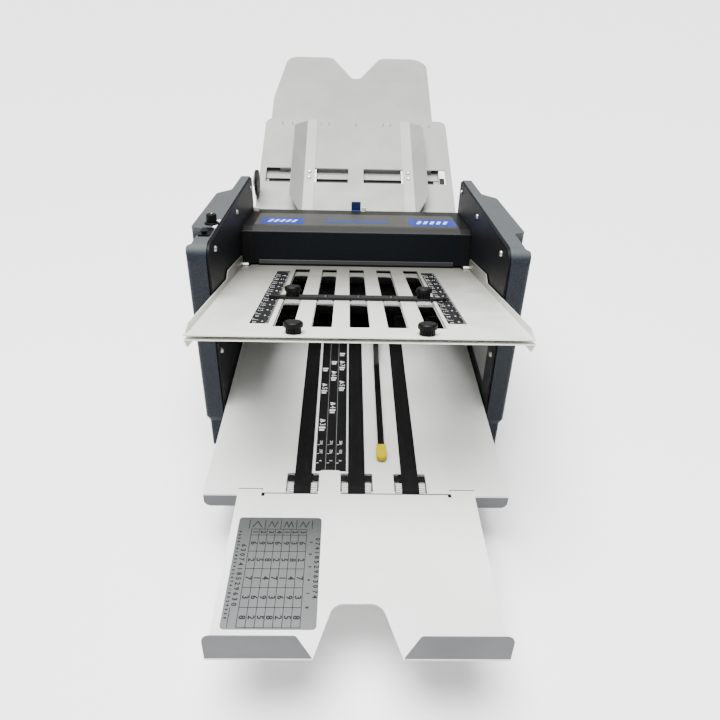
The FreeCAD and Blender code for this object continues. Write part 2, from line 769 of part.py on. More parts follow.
def frame_screws():
    screws = []
    inner = INNER_WIDTH / 2
    for side in (-1, 1):
        for place in top_screws()[:-len(SCREW_BASE)]:
            screws.append(round_screw(side * inner, side * PLATE_OUTER, place))
        for place in top_screws()[-len(SCREW_BASE):]:
            screws.append(round_screw(side * (inner - SEAT - BASE_THICK), side * PLATE_OUTER, place))
        for place in CONVEYOR_SCREWS:
            face = PLATE_WIDTH / 2 - PLATE_SHEET
            low, high = sorted((side * PLATE_WIDTH / 2, side * inner))
            spacer = rod_x(SCREW_HEAD, low, high, place[0], place[1])
            hole = rod_x(SCREW_SHANK, low, high, place[0], place[1])
            screws.append(round_screw(side * face, side * PLATE_OUTER, place).fuse(spacer.cut(hole)))
    return group(screws)


def bush(place, bore, side):
    # A flanged bush pressed into a side plate from inside
    inner = INNER_WIDTH / 2
    shape = rod_x(BUSH_RADIUS, inner, inner + BUSH_LENGTH, place[0], place[1])
    shape = shape.fuse(rod_x(BUSH_FLANGE, inner - BUSH_FLANGE_THICK, inner, place[0], place[1]))
    shape = shape.cut(rod_x(bore + RUN, inner - CUT, inner + BUSH_LENGTH + CUT, place[0], place[1]))
    return shape if side > 0 else mirrored(shape)


def roller_bearings():
    bushes = []
    for place in BUSHED_AXES:
        bore = JOURNAL_RADIUS
        if place == REAR_AXLE:
            bore = AXLE_RADIUS
        for side in (-1, 1):
            bushes.append(bush(place, bore, side))
    return group(bushes)


PULLEY_WIDTH = LOOP_WIDTH + 2 * (PULLEY_FLANGE_THICK + SEAT)
PULLEY_START = INNER_WIDTH / 2 + BUSH_LENGTH + PULLEY_GAP
GEAR_START = PULLEY_START + PULLEY_WIDTH + GEAR_HUB_GAP
GEAR_RADIUS = ROLLER_PITCH / 2


def direction(start, end):
    return math.degrees(math.atan2(end[1] - start[1], end[0] - start[0]))


def gear_phases():
    # The angle of a tooth on each gear, so that neighbours mesh tooth to gap
    angles = [direction(ROLLER_AXES[0], ROLLER_AXES[1])]
    for index in range(1, len(ROLLER_AXES)):
        line = direction(ROLLER_AXES[index - 1], ROLLER_AXES[index])
        angles.append(2 * line + 180 - angles[-1] - GEAR_PHASE)
    return angles


def gear(place, phase):
    root = GEAR_RADIUS - GEAR_DEDENDUM
    tip = GEAR_RADIUS + GEAR_ADDENDUM
    tooth = 360 / GEAR_TEETH
    points = []
    for index in range(GEAR_TEETH):
        centre = phase + index * tooth
        for radius, share in ((root, -GEAR_ROOT_SHARE), (tip, -GEAR_TIP_SHARE),
                              (tip, GEAR_TIP_SHARE), (root, GEAR_ROOT_SHARE)):
            y, z = on_circle(radius, centre + share * tooth / 2)
            points.append((place[0] + y, place[1] + z))
    return extrude_x(points, GEAR_START, GEAR_START + GEAR_WIDTH)


def pulley_profile(radius, start):
    flange = radius + PULLEY_FLANGE
    end = start + PULLEY_WIDTH
    return [(start, 0), (start, flange), (start + PULLEY_FLANGE_THICK, flange),
            (start + PULLEY_FLANGE_THICK, radius), (end - PULLEY_FLANGE_THICK, radius),
            (end - PULLEY_FLANGE_THICK, flange), (end, flange), (end, 0)]


def pulley(radius, place, side):
    shape = revolve_x(pulley_profile(radius, PULLEY_START), place[0], place[1])
    return shape if side > 0 else mirrored(shape)


def fold_roller(index):
    # A grooved roller on its shaft, with the gear on the right end and pulleys where a belt runs
    place = ROLLER_AXES[index]
    half = ROLLER_LENGTH / 2
    points = [(-half, 0), (-half, ROLLER_RADIUS)]
    pitch = ROLLER_LENGTH / GROOVE_COUNT
    for groove in range(GROOVE_COUNT):
        start = -half + (groove + 0.5) * pitch - GROOVE_WIDTH / 2
        points += [(start, ROLLER_RADIUS), (start, ROLLER_RADIUS - GROOVE_DEPTH),
                   (start + GROOVE_WIDTH, ROLLER_RADIUS - GROOVE_DEPTH),
                   (start + GROOVE_WIDTH, ROLLER_RADIUS)]
    points += [(half, ROLLER_RADIUS), (half, 0)]
    left_end = PULLEY_START + PULLEY_WIDTH
    right_end = GEAR_START + GEAR_WIDTH
    parts = [revolve_x(points, place[0], place[1]),
             rod_x(JOURNAL_RADIUS, -left_end, right_end, place[0], place[1]),
             gear(place, gear_phases()[index])]
    if place == ROLLER_ONE:
        parts.append(pulley(FEED_DRIVE_PULLEY, place, -1))
    if place == ROLLER_TWO:
        parts.append(pulley(DRIVE_PULLEY, place, 1))
    if place == ROLLER_FOUR:
        parts.append(pulley(DELIVERY_PULLEY, place, -1))
    return union(parts)


def side_belt(first, second, first_radius, second_radius, side):
    start = PULLEY_START + PULLEY_FLANGE_THICK + SEAT
    belt = loop_belt(first, second, first_radius + SEAT, second_radius + SEAT, LOOP_THICK,
                     start, start + LOOP_WIDTH)
    return belt if side > 0 else mirrored(belt)


def hood_path():
    return [(HOOD_REAR_TOP[0], HOOD_REAR_TOP[1] - HOOD_REAR_DROP),
            (HOOD_REAR_TOP[0], HOOD_REAR_TOP[1], HOOD_ROUND),
            (HOOD_CREST[0], HOOD_CREST[1]),
            (HOOD_FRONT_TOP[0], HOOD_FRONT_TOP[1], HOOD_ROUND),
            HOOD_FRONT_LOW]


def roller_cover():
    # A folded sheet over the rollers, with an inner flange at each end
    half = HOOD_WIDTH / 2
    cover = extrude_x(ribbon(hood_path(), HOOD_WALL), -half, half)
    for side in (-1, 1):
        x0, x1 = sorted((side * half, side * (half - HOOD_WALL)))
        end = extrude_x(hood_path(), x0, x1)
        cover = cover.fuse(end.common(box(x0, x1, HOOD_END_FRONT, HOOD_END_REAR,
                                          HOOD_END_LOW, HOOD_CREST[1] + CUT)))
    return cover.removeSplitter()


def cover_lip():
    # A strip along the bottom of the cover's front face
    slope = (HOOD_FRONT_TOP[0] - HOOD_FRONT_LOW[0]) / (HOOD_FRONT_TOP[1] - HOOD_FRONT_LOW[1])
    low = HOOD_FRONT_LOW[1] - LIP_DROP
    high = HOOD_FRONT_LOW[1] + LIP_RISE
    foot = HOOD_FRONT_LOW[0] - slope * LIP_DROP
    head = HOOD_FRONT_LOW[0] + slope * LIP_RISE
    return extrude_x([(foot, low), (head, high), (head - LIP_DEPTH / 2, high, LIP_DEPTH / 2),
                      (foot - LIP_DEPTH, low + LIP_DEPTH / 2, LIP_DEPTH / 2), (foot - LIP_DEPTH / 2, low)],
                     -LIP_WIDTH / 2, LIP_WIDTH / 2)


def hood_slope():
    return math.degrees(math.atan2(HOOD_CREST[1] - HOOD_REAR_TOP[1], HOOD_REAR_TOP[0] - HOOD_CREST[0]))


def hood_top(y):
    share = (y - HOOD_CREST[0]) / (HOOD_REAR_TOP[0] - HOOD_CREST[0])
    return HOOD_CREST[1] + share * (HOOD_REAR_TOP[1] - HOOD_CREST[1])


def cheek_outer():
    return LEVER_WIDTH / 2 + SEAT + RETARD_CHEEK


def nylon_caps():
    # The cream cap on the cover's left rear corner and the nub on the end of the lever's pin
    x = -INNER_WIDTH / 2 + CAP_RADIUS + SEAT
    big = revolve_z([(0, 0), (CAP_RADIUS, 0), (CAP_RADIUS, CAP_HEIGHT, CAP_RADIUS / 3),
                     (0, CAP_HEIGHT)], x, 0)
    big = tilted(big, (CAP_Y, hood_top(CAP_Y)), -hood_slope())
    start = cheek_outer()
    end = start + NUB_LENGTH
    small = revolve_x([(start, 0), (start, NUB_RADIUS), (end, NUB_RADIUS, NUB_RADIUS / 2), (end, 0)],
                      LEVER_PIVOT[0], LEVER_PIVOT[1])
    return group([big, small])


def feed_shaft():
    left_end = PULLEY_START + PULLEY_WIDTH
    right_end = INNER_WIDTH / 2 + BUSH_LENGTH
    shaft = rod_x(FEED_SHAFT_RADIUS, -left_end, right_end, FEED_SHAFT_AT[0], FEED_SHAFT_AT[1])
    parts = [shaft, pulley(FEED_PULLEY, FEED_SHAFT_AT, -1)]
    for x in FEED_TYRE_X:
        parts.append(rod_x(FEED_CORE, x - FEED_TYRE_LENGTH / 2, x + FEED_TYRE_LENGTH / 2,
                           FEED_SHAFT_AT[0], FEED_SHAFT_AT[1]))
    return union(parts)


def feed_tyres():
    # Ribbed rubber rings on the three cores of the feed shaft
    tyres = []
    pitch = FEED_TYRE_LENGTH / FEED_RIBS
    valley = FEED_RADIUS - FEED_RIB_DEPTH
    for x in FEED_TYRE_X:
        start = x - FEED_TYRE_LENGTH / 2
        end = start + FEED_TYRE_LENGTH
        points = [(start, FEED_CORE)]
        for rib in range(FEED_RIBS):
            low = start + rib * pitch
            points += [(low, valley), (low + pitch / 4, FEED_RADIUS), (low + pitch * 3 / 4, FEED_RADIUS)]
        points += [(end, valley), (end, FEED_CORE)]
        tyres.append(revolve_x(points, FEED_SHAFT_AT[0], FEED_SHAFT_AT[1]))
    return group(tyres)


def feed_point(y, z):
    # A place of the feed table's own frame, in the machine
    angle = math.radians(FEED_TILT)
    return (FEED_ORIGIN[0] + y * math.cos(angle) - z * math.sin(angle),
            FEED_ORIGIN[1] + y * math.sin(angle) + z * math.cos(angle))


def feed_roller_local():
    angle = math.radians(FEED_TILT)
    across = FEED_SHAFT_AT[0] - FEED_ORIGIN[0]
    up = FEED_SHAFT_AT[1] - FEED_ORIGIN[1]
    return across * math.cos(angle) + up * math.sin(angle), up * math.cos(angle) - across * math.sin(angle)


def retard_holder():
    # A cross bar with the friction pad under the feed roller, the guide sheet to the first nip,
    # and two cheeks with the pin that carries the release lever
    y, z = feed_roller_local()
    top = z - FEED_RADIUS - SEAT
    bar_top = top - RETARD_PAD
    half = INNER_WIDTH / 2 - ARM_THICK
    bar = box(-half, half, y - RETARD_BAR / 2, y + RETARD_BAR / 2, bar_top - RETARD_BLOCK, bar_top)
    pad = extrude_z([(-RETARD_WIDTH / 2, y - RETARD_DEPTH / 2, RETARD_PAD),
                     (RETARD_WIDTH / 2, y - RETARD_DEPTH / 2, RETARD_PAD),
                     (RETARD_WIDTH / 2, y + RETARD_BAR / 2), (-RETARD_WIDTH / 2, y + RETARD_BAR / 2)],
                    bar_top - RETARD_PAD, top)
    holder = tilted(bar.fuse(pad), FEED_ORIGIN, FEED_TILT)
    end = feed_point(y, bar_top)
    guide = ribbon([end, GUIDE_SHEET_KNEE, GUIDE_SHEET_FRONT], FEED_THICK)
    parts = [holder, extrude_x(guide, -GUIDE_SHEET_WIDTH / 2, GUIDE_SHEET_WIDTH / 2)]
    low = feed_point(y, bar_top - RETARD_BLOCK)
    high = feed_point(y + RETARD_BAR / 2, bar_top)
    for side in (-1, 1):
        x0, x1 = sorted((side * cheek_outer(), side * (cheek_outer() - RETARD_CHEEK)))
        cheek = extrude_x([low, (LEVER_PIVOT[0] + LEVER_BOSS, LEVER_PIVOT[1] - LEVER_BOSS * 2, LEVER_BOSS),
                           (LEVER_PIVOT[0] + LEVER_BOSS, LEVER_PIVOT[1] + LEVER_BOSS, LEVER_BOSS),
                           (LEVER_PIVOT[0] - LEVER_BOSS, LEVER_PIVOT[1] + LEVER_BOSS, LEVER_BOSS),
                           (LEVER_PIVOT[0] - LEVER_BOSS, LEVER_PIVOT[1] - LEVER_BOSS), high], x0, x1)
        parts.append(cheek)
    parts.append(rod_x(LEVER_PIN, -cheek_outer(), cheek_outer(), LEVER_PIVOT[0], LEVER_PIVOT[1]))
    return union(parts)


def release_lever():
    # A flat tab on a round boss that turns on the pin
    y, z = LEVER_PIVOT
    half = LEVER_WIDTH / 2
    boss = rod_x(LEVER_BOSS, -half, half, y, z)
    tab = extrude_y([(-half, z), (half, z), (half, LEVER_TOP, LEVER_PIN), (-half, LEVER_TOP, LEVER_PIN)],
                    y - LEVER_THICK / 2, y + LEVER_THICK / 2)
    hole = rod_x(LEVER_PIN + RUN, -half - CUT, half + CUT, y, z)
    return union([boss, tab]).cut(hole)


def slot_centres():
    middle = (TABLE_SLOTS - 1) / 2
    return [(index - middle) * SLOT_PITCH for index in range(TABLE_SLOTS)]


def slotted_sheet(width, length, top, slot_start, slot_end, corner_radius):
    half = width / 2
    sheet = box(-half, half, 0, length, top - SHEET_THICK, top)
    cuts = []
    for x in slot_centres():
        side = SLOT_WIDTH / 2
        cuts.append(extrude_z([(x - side, slot_start, SLOT_CORNER), (x + side, slot_start, SLOT_CORNER),
                               (x + side, slot_end, corner_radius), (x - side, slot_end, corner_radius)],
                              top - SHEET_THICK - CUT, top + CUT))
    return sheet.cut(group(cuts))


LOWER_TOP = -SHEET_THICK - SHEET_SPACE
TABLE_BOTTOM = LOWER_TOP - SHEET_THICK
STRIP_LOW = LOWER_TOP + SEAT
STRIP_HIGH = -SHEET_THICK - SEAT


def table_origin():
    # The top of the front table's upper sheet at its front edge, level with the first nip between sheets
    angle = math.radians(TABLE_TILT)
    lift = SHEET_THICK + SHEET_SPACE / 2
    reach = TABLE_LENGTH + TABLE_START
    return (NIP_ONE[0] - reach * math.cos(angle) + lift * math.sin(angle),
            NIP_ONE[1] + reach * math.sin(angle) + lift * math.cos(angle))


def front_tilted(shape):
    return tilted(shape, table_origin(), -TABLE_TILT)


def hook_cut():
    # Clears the rear corners of both sheets round the pins they rest against
    reach = TABLE_WIDTH / 2 + CUT
    return group([box(HOOK_X, reach, HOOK_AT, TABLE_LENGTH + CUT, -FLANGE_HIGH * 2, FLANGE_HIGH * 2),
                  box(-reach, -HOOK_X, HOOK_AT, TABLE_LENGTH + CUT, -FLANGE_HIGH * 2, FLANGE_HIGH * 2)])


def knob_stud_holes(radius):
    return [rod_z(radius, side * TABLE_KNOB_X, TABLE_KNOB_AT, TABLE_BOTTOM - CUT, CUT) for side in (-1, 1)]


def front_table_upper():
    # The slotted upper sheet with an upturned flange on each side, taller at its rear
    sheet = slotted_sheet(TABLE_WIDTH, TABLE_LENGTH, 0, SLOT_FRONT, SLOT_FRONT + SLOT_LENGTH, SLOT_CORNER)
    side_view = [(0, -SHEET_THICK), (FLANGE_CORNER, FLANGE_LOW, FLANGE_LOW),
                 (FLANGE_STEP, FLANGE_LOW, SLOT_CORNER),
                 (FLANGE_STEP + FLANGE_STEP_LENGTH, FLANGE_HIGH, SLOT_CORNER),
                 (HOOK_AT, FLANGE_HIGH, FLANGE_LOW), (HOOK_AT, -SHEET_THICK)]
    parts = [sheet]
    for side in (-1, 1):
        x0, x1 = sorted((side * TABLE_WIDTH / 2, side * (TABLE_WIDTH / 2 - SHEET_THICK)))
        parts.append(extrude_x(side_view, x0, x1))
    shape = union(parts).cut(group([hook_cut()] + knob_stud_holes(KNOB_STUD + RUN)))
    return front_tilted(shape)


def front_table_lower():
    # The lower sheet, with shorter round-ended slots, downturned side flanges and a front strip
    sheet = slotted_sheet(TABLE_WIDTH, TABLE_LENGTH, LOWER_TOP, SLOT_FRONT,
                          SLOT_FRONT + SLOT_LENGTH - SLOT_SHORTER, SLOT_WIDTH / 2)
    side_view = [(0, LOWER_TOP), (0, TABLE_BOTTOM), (FLANGE_DOWN, TABLE_BOTTOM - FLANGE_DOWN, FLANGE_LOW),
                 (HOOK_AT, TABLE_BOTTOM - FLANGE_DOWN, FLANGE_LOW), (HOOK_AT, LOWER_TOP)]
    parts = [sheet]
    for side in (-1, 1):
        x0, x1 = sorted((side * TABLE_WIDTH / 2, side * (TABLE_WIDTH / 2 - SHEET_THICK)))
        parts.append(extrude_x(side_view, x0, x1))
        # Spacer blocks hold the two sheets apart along the sides
        x2, x3 = sorted((side * (TABLE_WIDTH / 2 - SHEET_THICK), side * (HOOK_X + SHEET_THICK)))
        parts.append(box(x2, x3, FLANGE_CORNER, HOOK_AT - FLANGE_CORNER, LOWER_TOP, -SHEET_THICK))
    shape = union(parts).cut(group([hook_cut()] + knob_stud_holes(KNOB_STUD + RUN)))
    return front_tilted(shape)


def stop_bar(at):
    # A flat bar with pointed ends over the sheets and a steel strip between them, joined by a block
    # through each slot; rivets hold the middle blocks and the clamp studs pass the outer ones
    low = SEAT
    high = SEAT + STOP_THICK
    half = STOP_SPAN / 2
    side = STOP_WIDTH / 2
    tip = STOP_TIP_WIDTH / 2
    bar = extrude_z([(-half, at - tip), (-half + STOP_TIP, at - side), (half - STOP_TIP, at - side),
                     (half, at - tip), (half, at + tip), (half - STOP_TIP, at + side),
                     (-half + STOP_TIP, at + side), (-half, at + tip)], low, high)
    strip = box(STOP_TIP / 2 - half, half - STOP_TIP / 2, at - STOP_STRIP / 2, at + STOP_STRIP / 2,
                STRIP_LOW, STRIP_HIGH)
    parts = [bar, strip]
    for x in slot_centres():
        parts.append(box(x - STOP_BLOCK / 2, x + STOP_BLOCK / 2, at - STOP_STRIP / 2, at + STOP_STRIP / 2,
                         STRIP_HIGH, low))
    for x in slot_centres()[1:-1]:
        parts.append(revolve_z([(0, high), (RIVET_RADIUS, high), (RIVET_RADIUS * 0.6, high + RIVET_HEIGHT),
                                (0, high + RIVET_HEIGHT)], x, at))
    bores = []
    for x in (slot_centres()[0], slot_centres()[-1]):
        bores.append(rod_z(KNOB_STUD + RUN, x, at, STRIP_LOW - CUT, high + CUT))
    return union(parts).cut(group(bores))


def knob(x, y, base, foot):
    # A round cap over a narrower fluted neck, with a stud that reaches down to foot
    cap_low = base + KNOB_HEIGHT - KNOB_CAP
    top = base + KNOB_HEIGHT
    points = []
    pitch = 360 / KNOB_FLUTES
    dip = KNOB_WAIST - KNOB_FLUTE_DEPTH
    for flute in range(KNOB_FLUTES):
        for radius, share in ((KNOB_WAIST, -0.3), (KNOB_WAIST, 0.3), (dip, 0.5)):
            px, py = on_circle(radius, (flute + share) * pitch)
            points.append((x + px, y + py))
    neck = extrude_z(points, base, cap_low)
    cap = revolve_z([(0, cap_low), (KNOB_RADIUS, cap_low), (KNOB_RADIUS, top - KNOB_CROWN, KNOB_CROWN),
                     (KNOB_RADIUS - KNOB_CROWN, top, KNOB_CROWN), (0, top)], x, y)
    stud = rod_z(KNOB_STUD, x, y, foot, base)
    return union([cap, neck, stud])


def front_stop_knob(side):
    base = SEAT + STOP_THICK + SEAT
    shape = knob(side * slot_centres()[-1], STOP_AT, base, STRIP_LOW)
    return front_tilted(shape)


def front_table_knob(side):
    shape = knob(side * TABLE_KNOB_X, TABLE_KNOB_AT, SEAT, TABLE_BOTTOM - KNOB_STUD)
    return front_tilted(shape)


def rear_origin():
    # The top of the rear table's upper sheet at its inner end, level with the second nip between sheets
    angle = math.radians(REAR_TILT)
    lift = SHEET_THICK + SHEET_SPACE / 2
    return (NIP_TWO[0] + REAR_START * math.cos(angle) + lift * math.sin(angle),
            NIP_TWO[1] - REAR_START * math.sin(angle) + lift * math.cos(angle))


def rear_tilted(shape):
    return tilted(shape, rear_origin(), -REAR_TILT)


def rear_table_upper():
    sheet = slotted_sheet(REAR_WIDTH, REAR_LENGTH, 0, REAR_SLOT_FRONT,
                          REAR_SLOT_FRONT + REAR_SLOT_LENGTH, SLOT_CORNER)
    parts = [sheet]
    for side in (-1, 1):
        x0, x1 = sorted((side * REAR_WIDTH / 2, side * (REAR_WIDTH / 2 - SHEET_THICK)))
        parts.append(extrude_x([(FLANGE_CORNER, -SHEET_THICK), (FLANGE_CORNER * 2, FLANGE_LOW, FLANGE_LOW),
                                (REAR_LENGTH - FLANGE_LOW, FLANGE_LOW, FLANGE_LOW),
                                (REAR_LENGTH, -SHEET_THICK)], x0, x1))
    return rear_tilted(union(parts))


def rear_table_lower():
    sheet = slotted_sheet(REAR_WIDTH, REAR_LENGTH, LOWER_TOP, REAR_SLOT_FRONT + SLOT_SHORTER,
                          REAR_SLOT_FRONT + REAR_SLOT_LENGTH, SLOT_CORNER)
    parts = [sheet]
    for side in (-1, 1):
        x0, x1 = sorted((side * REAR_WIDTH / 2, side * (REAR_WIDTH / 2 - FLANGE_DOWN)))
        parts.append(box(x0, x1, FLANGE_CORNER, REAR_LENGTH - FLANGE_CORNER, LOWER_TOP, -SHEET_THICK))
    return rear_tilted(union(parts))


def rear_stop_knob(side):
    base = SEAT + STOP_THICK + SEAT
    return rear_tilted(knob(side * slot_centres()[-1], REAR_STOP_AT, base, STRIP_LOW))


def table_pins():
    # Studs on the side plates: the tables rest on them, and the front table hooks behind the rear pair
    inner = INNER_WIDTH / 2
    under = TABLE_BOTTOM - SEAT - PIN_RADIUS
    start = inner - PIN_REACH
    front_at = TABLE_LENGTH - PIN_FRONT_AT
    hook_at = HOOK_AT + PIN_RADIUS + PIN_HOOK_GAP
    studs = [front_tilted(rod_x(PIN_RADIUS, start, inner, front_at, under - FLANGE_DOWN)),
             front_tilted(rod_x(PIN_RADIUS, start, inner, hook_at, 0))]
    for at in REAR_PINS:
        stud = rod_x(PIN_RADIUS, inner - REAR_PIN_REACH, inner, at, under)
        studs.append(rear_tilted(stud))
    return group(studs + [mirrored(stud) for stud in studs])


def feed_tilted(shape):
    return tilted(shape, FEED_ORIGIN, FEED_TILT)


def neck_length():
    # The table is narrower until it is clear of the rear edges of the side plates
    clear = FRAME_REAR + COVER_LAP + SEAT
    return (clear - FEED_ORIGIN[0]) / math.cos(math.radians(FEED_TILT)) + FEED_NECK_EXTRA


def feed_slots():
    # Two slots across the table, one each side of the middle
    near = FEED_SLOT_AT
    far = FEED_SLOT_AT + FEED_SLOT_DEPTH
    start = FEED_SLOT_MIDDLE / 2
    return [(-FEED_SLOT_END, -start, near, far), (start, FEED_SLOT_END, near, far)]


def runner_hooks(side):
    # One channel under the table that holds an edge of the extension: (x, z) section
    edge = EXT_OFFSET + side * (EXT_WIDTH / 2 + SEAT)
    out = edge + side * RUNNER_THICK
    inward = edge - side * RUNNER_HOOK
    low = -EXT_BELOW - EXT_THICK - SEAT
    return [(edge, -FEED_THICK), (out, -FEED_THICK), (out, low - RUNNER_THICK), (inward, low - RUNNER_THICK),
            (inward, low), (edge, low)]


def feed_table():
    # A sheet with rounded rear corners, downturned edges, slots, a front notch and runners below
    wide = FEED_WIDTH / 2
    narrow = FEED_NECK_WIDTH / 2
    neck = neck_length()
    corners = [(-narrow, 0), (narrow, 0), (narrow, neck), (wide, neck, FEED_THICK),
               (wide, FEED_LENGTH, FEED_CORNER), (-wide, FEED_LENGTH, FEED_CORNER),
               (-wide, neck, FEED_THICK), (-narrow, neck)]
    parts = [extrude_z(corners, -FEED_THICK, 0)]
    for side in (-1, 1):
        x0, x1 = sorted((side * wide, side * (wide - FEED_THICK)))
        parts.append(extrude_x([(neck + FEED_THICK, 0), (neck + FEED_THICK, -FEED_FLANGE, FEED_THICK),
                                (FEED_LENGTH - FEED_CORNER, -FEED_FLANGE, FEED_FLANGE / 2),
                                (FEED_LENGTH - FEED_CORNER, 0)], x0, x1))
        parts.append(extrude_y(runner_hooks(side), RUNNER_START, FEED_LENGTH - FEED_CORNER))
    cuts = [box(-FEED_NOTCH_WIDTH / 2, FEED_NOTCH_WIDTH / 2, -CUT, FEED_NOTCH_DEPTH, -CUT, CUT)]
    for x0, x1, y0, y1 in feed_slots():
        cuts.append(extrude_z([(x0, y0, SLOT_CORNER), (x1, y0, SLOT_CORNER), (x1, y1, SLOT_CORNER),
                               (x0, y1, SLOT_CORNER)], -CUT, CUT))
    return feed_tilted(union(parts).cut(group(cuts)))


def table_brackets():
    # Two arms on the side plates carry the feed table; the left one has an ear for the skew dial
    inner = INNER_WIDTH / 2
    rear = FRAME_REAR - ARM_FRONT
    start = (rear - FEED_ORIGIN[0]) / math.cos(math.radians(FEED_TILT))
    top = -FEED_THICK
    arm = extrude_x([(start - ARM_FOOT, top), (start - ARM_FOOT, -ARM_DEPTH, ARM_THICK * 2),
                     (start, -ARM_DEPTH), (ARM_LENGTH, -ARM_FRONT, ARM_THICK * 2), (ARM_LENGTH, top)],
                    inner - ARM_THICK, inner)
    near = EAR_AT - EAR_WIDTH / 2
    far = EAR_AT + EAR_WIDTH / 2
    high = EAR_HEIGHT - ARM_FRONT
    ear = extrude_x([(near, -ARM_FRONT, ARM_THICK), (far, -ARM_FRONT, ARM_THICK),
                     (far, high, EAR_WIDTH / 2), (near, high, EAR_WIDTH / 2)],
                    -FEED_WIDTH / 2 - ARM_THICK, -FEED_WIDTH / 2)
    y, z = dial_local()
    ear = ear.cut(rod_x(DIAL_HUB + RUN, -FEED_WIDTH / 2 - CUT, -FEED_WIDTH / 2 + CUT, y, z))
    return group([feed_tilted(arm), feed_tilted(mirrored(arm)), feed_tilted(ear)])


def dial_local():
    return EAR_AT, DIAL_RADIUS + DIAL_RISE


def skew_dial():
    # A ridged thumb wheel on a hub through the ear
    y, z = dial_local()
    points = []
    pitch = 360 / DIAL_RIDGES
    for ridge in range(DIAL_RIDGES):
        for radius, share in ((DIAL_RADIUS, -0.25), (DIAL_RADIUS, 0.25), (DIAL_RADIUS - DIAL_RIDGE, 0.5)):
            py, pz = on_circle(radius, (ridge + share) * pitch)
            points.append((y + py, z + pz))
    face = -FEED_WIDTH / 2 + SEAT
    wheel = extrude_x(points, face, face + DIAL_THICK)
    outside = -FEED_WIDTH / 2 - ARM_THICK - SEAT
    hub = rod_x(DIAL_HUB, outside, face, y, z)
    rim = rod_x(DIAL_HUB * 1.5, outside - ARM_THICK, outside, y, z)
    return feed_tilted(union([wheel, hub, rim]))


def table_extension():
    # A sheet with two rounded lobes and a finger notch between them, seen from above
    left = EXT_OFFSET - EXT_WIDTH / 2
    right = EXT_OFFSET + EXT_WIDTH / 2
    mouth = EXT_NOTCH_MOUTH / 2
    floor = EXT_NOTCH_FLOOR / 2
    deep = EXT_END - EXT_NOTCH_DEPTH
    points = [(left, EXT_START), (right, EXT_START), (right, EXT_END, EXT_CORNER),
              (mouth, EXT_END, EXT_NOTCH_ROUND * 2), (floor, deep, EXT_NOTCH_ROUND),
              (-floor, deep, EXT_NOTCH_ROUND), (-mouth, EXT_END, EXT_NOTCH_ROUND * 2),
              (left + EXT_LEFT_TAPER, EXT_END, EXT_LEFT_CORNER),
              (left, EXT_END - EXT_LEFT_TAPER_LENGTH, EXT_LEFT_ROUND)]
    return feed_tilted(extrude_z(points, -EXT_BELOW - EXT_THICK, -EXT_BELOW))


def side_guide(side):
    # A folded sheet: a leg on the table and a wall that leans outward, with both of its ends slanted
    bend = GUIDE_SPAN / 2
    section = ribbon([(bend - GUIDE_LEG, SEAT), (bend, SEAT, GUIDE_BEND),
                      (bend + GUIDE_FLARE, SEAT + GUIDE_HEIGHT)], GUIDE_THICK)
    high = GUIDE_HEIGHT + GUIDE_CORNER
    side_view = extrude_x([(GUIDE_START, 0), (GUIDE_START + GUIDE_FRONT_CUT, high, GUIDE_CORNER),
                           (GUIDE_END - GUIDE_REAR_CUT, high, GUIDE_CORNER), (GUIDE_END, 0)],
                          bend - GUIDE_LEG - CUT, bend + GUIDE_FLARE + CUT)
    leg = box(bend - GUIDE_LEG, bend - GUIDE_BEND, GUIDE_START, GUIDE_END, SEAT, SEAT + GUIDE_THICK)
    shape = union([extrude_y(section, GUIDE_START, GUIDE_END).common(side_view), leg])
    holes = [rod_z(GUIDE_SCREW_SHANK, x, y, -CUT, CUT) for x, y in guide_screw_places()]
    return guide_placed(shape.cut(group(holes)), side)


def guide_placed(shape, side):
    # The left and right guides are alike and stand a little to the right of the middle
    shape = feed_tilted(shape)
    if side < 0:
        shape = mirrored(shape)
    shape.translate(Vector(GUIDE_SHIFT, 0, 0))
    return shape


def guide_screw_places():
    x = GUIDE_SPAN / 2 - GUIDE_LEG / 2
    middle = FEED_SLOT_AT + FEED_SLOT_DEPTH / 2
    return [(x, middle - GUIDE_WASHER), (x, middle + GUIDE_WASHER)]


def guide_clamp(side):
    # Two screws through the leg of a guide into a slide plate under the table
    parts = []
    low = -FEED_THICK - SEAT - GUIDE_WASHER_THICK
    for x, y in guide_screw_places():
        head = SEAT + GUIDE_THICK
        parts.append(revolve_z([(0, head), (GUIDE_SCREW_HEAD, head),
                                (GUIDE_SCREW_HEAD * 0.7, head + GUIDE_SCREW_RISE, GUIDE_SCREW_RISE / 2),
                                (0, head + GUIDE_SCREW_RISE)], x, y))
        parts.append(rod_z(GUIDE_SCREW_SHANK, x, y, low, head))
        parts.append(rod_z(GUIDE_SCREW_HEAD, x, y, low, SEAT).cut(rod_z(GUIDE_SCREW_SHANK, x, y, low, SEAT)))
    x = guide_screw_places()[0][0]
    near = FEED_SLOT_AT - GUIDE_WASHER / 2
    far = FEED_SLOT_AT + FEED_SLOT_DEPTH + GUIDE_WASHER / 2
    parts.append(box(x - GUIDE_WASHER_EDGE, x + GUIDE_WASHER_EDGE, near, far, low, low + GUIDE_WASHER_THICK))
    return guide_placed(union(parts), side)


def belt_centres():
    return [(index - 1) * BELT_PITCH for index in range(BELT_COUNT)]


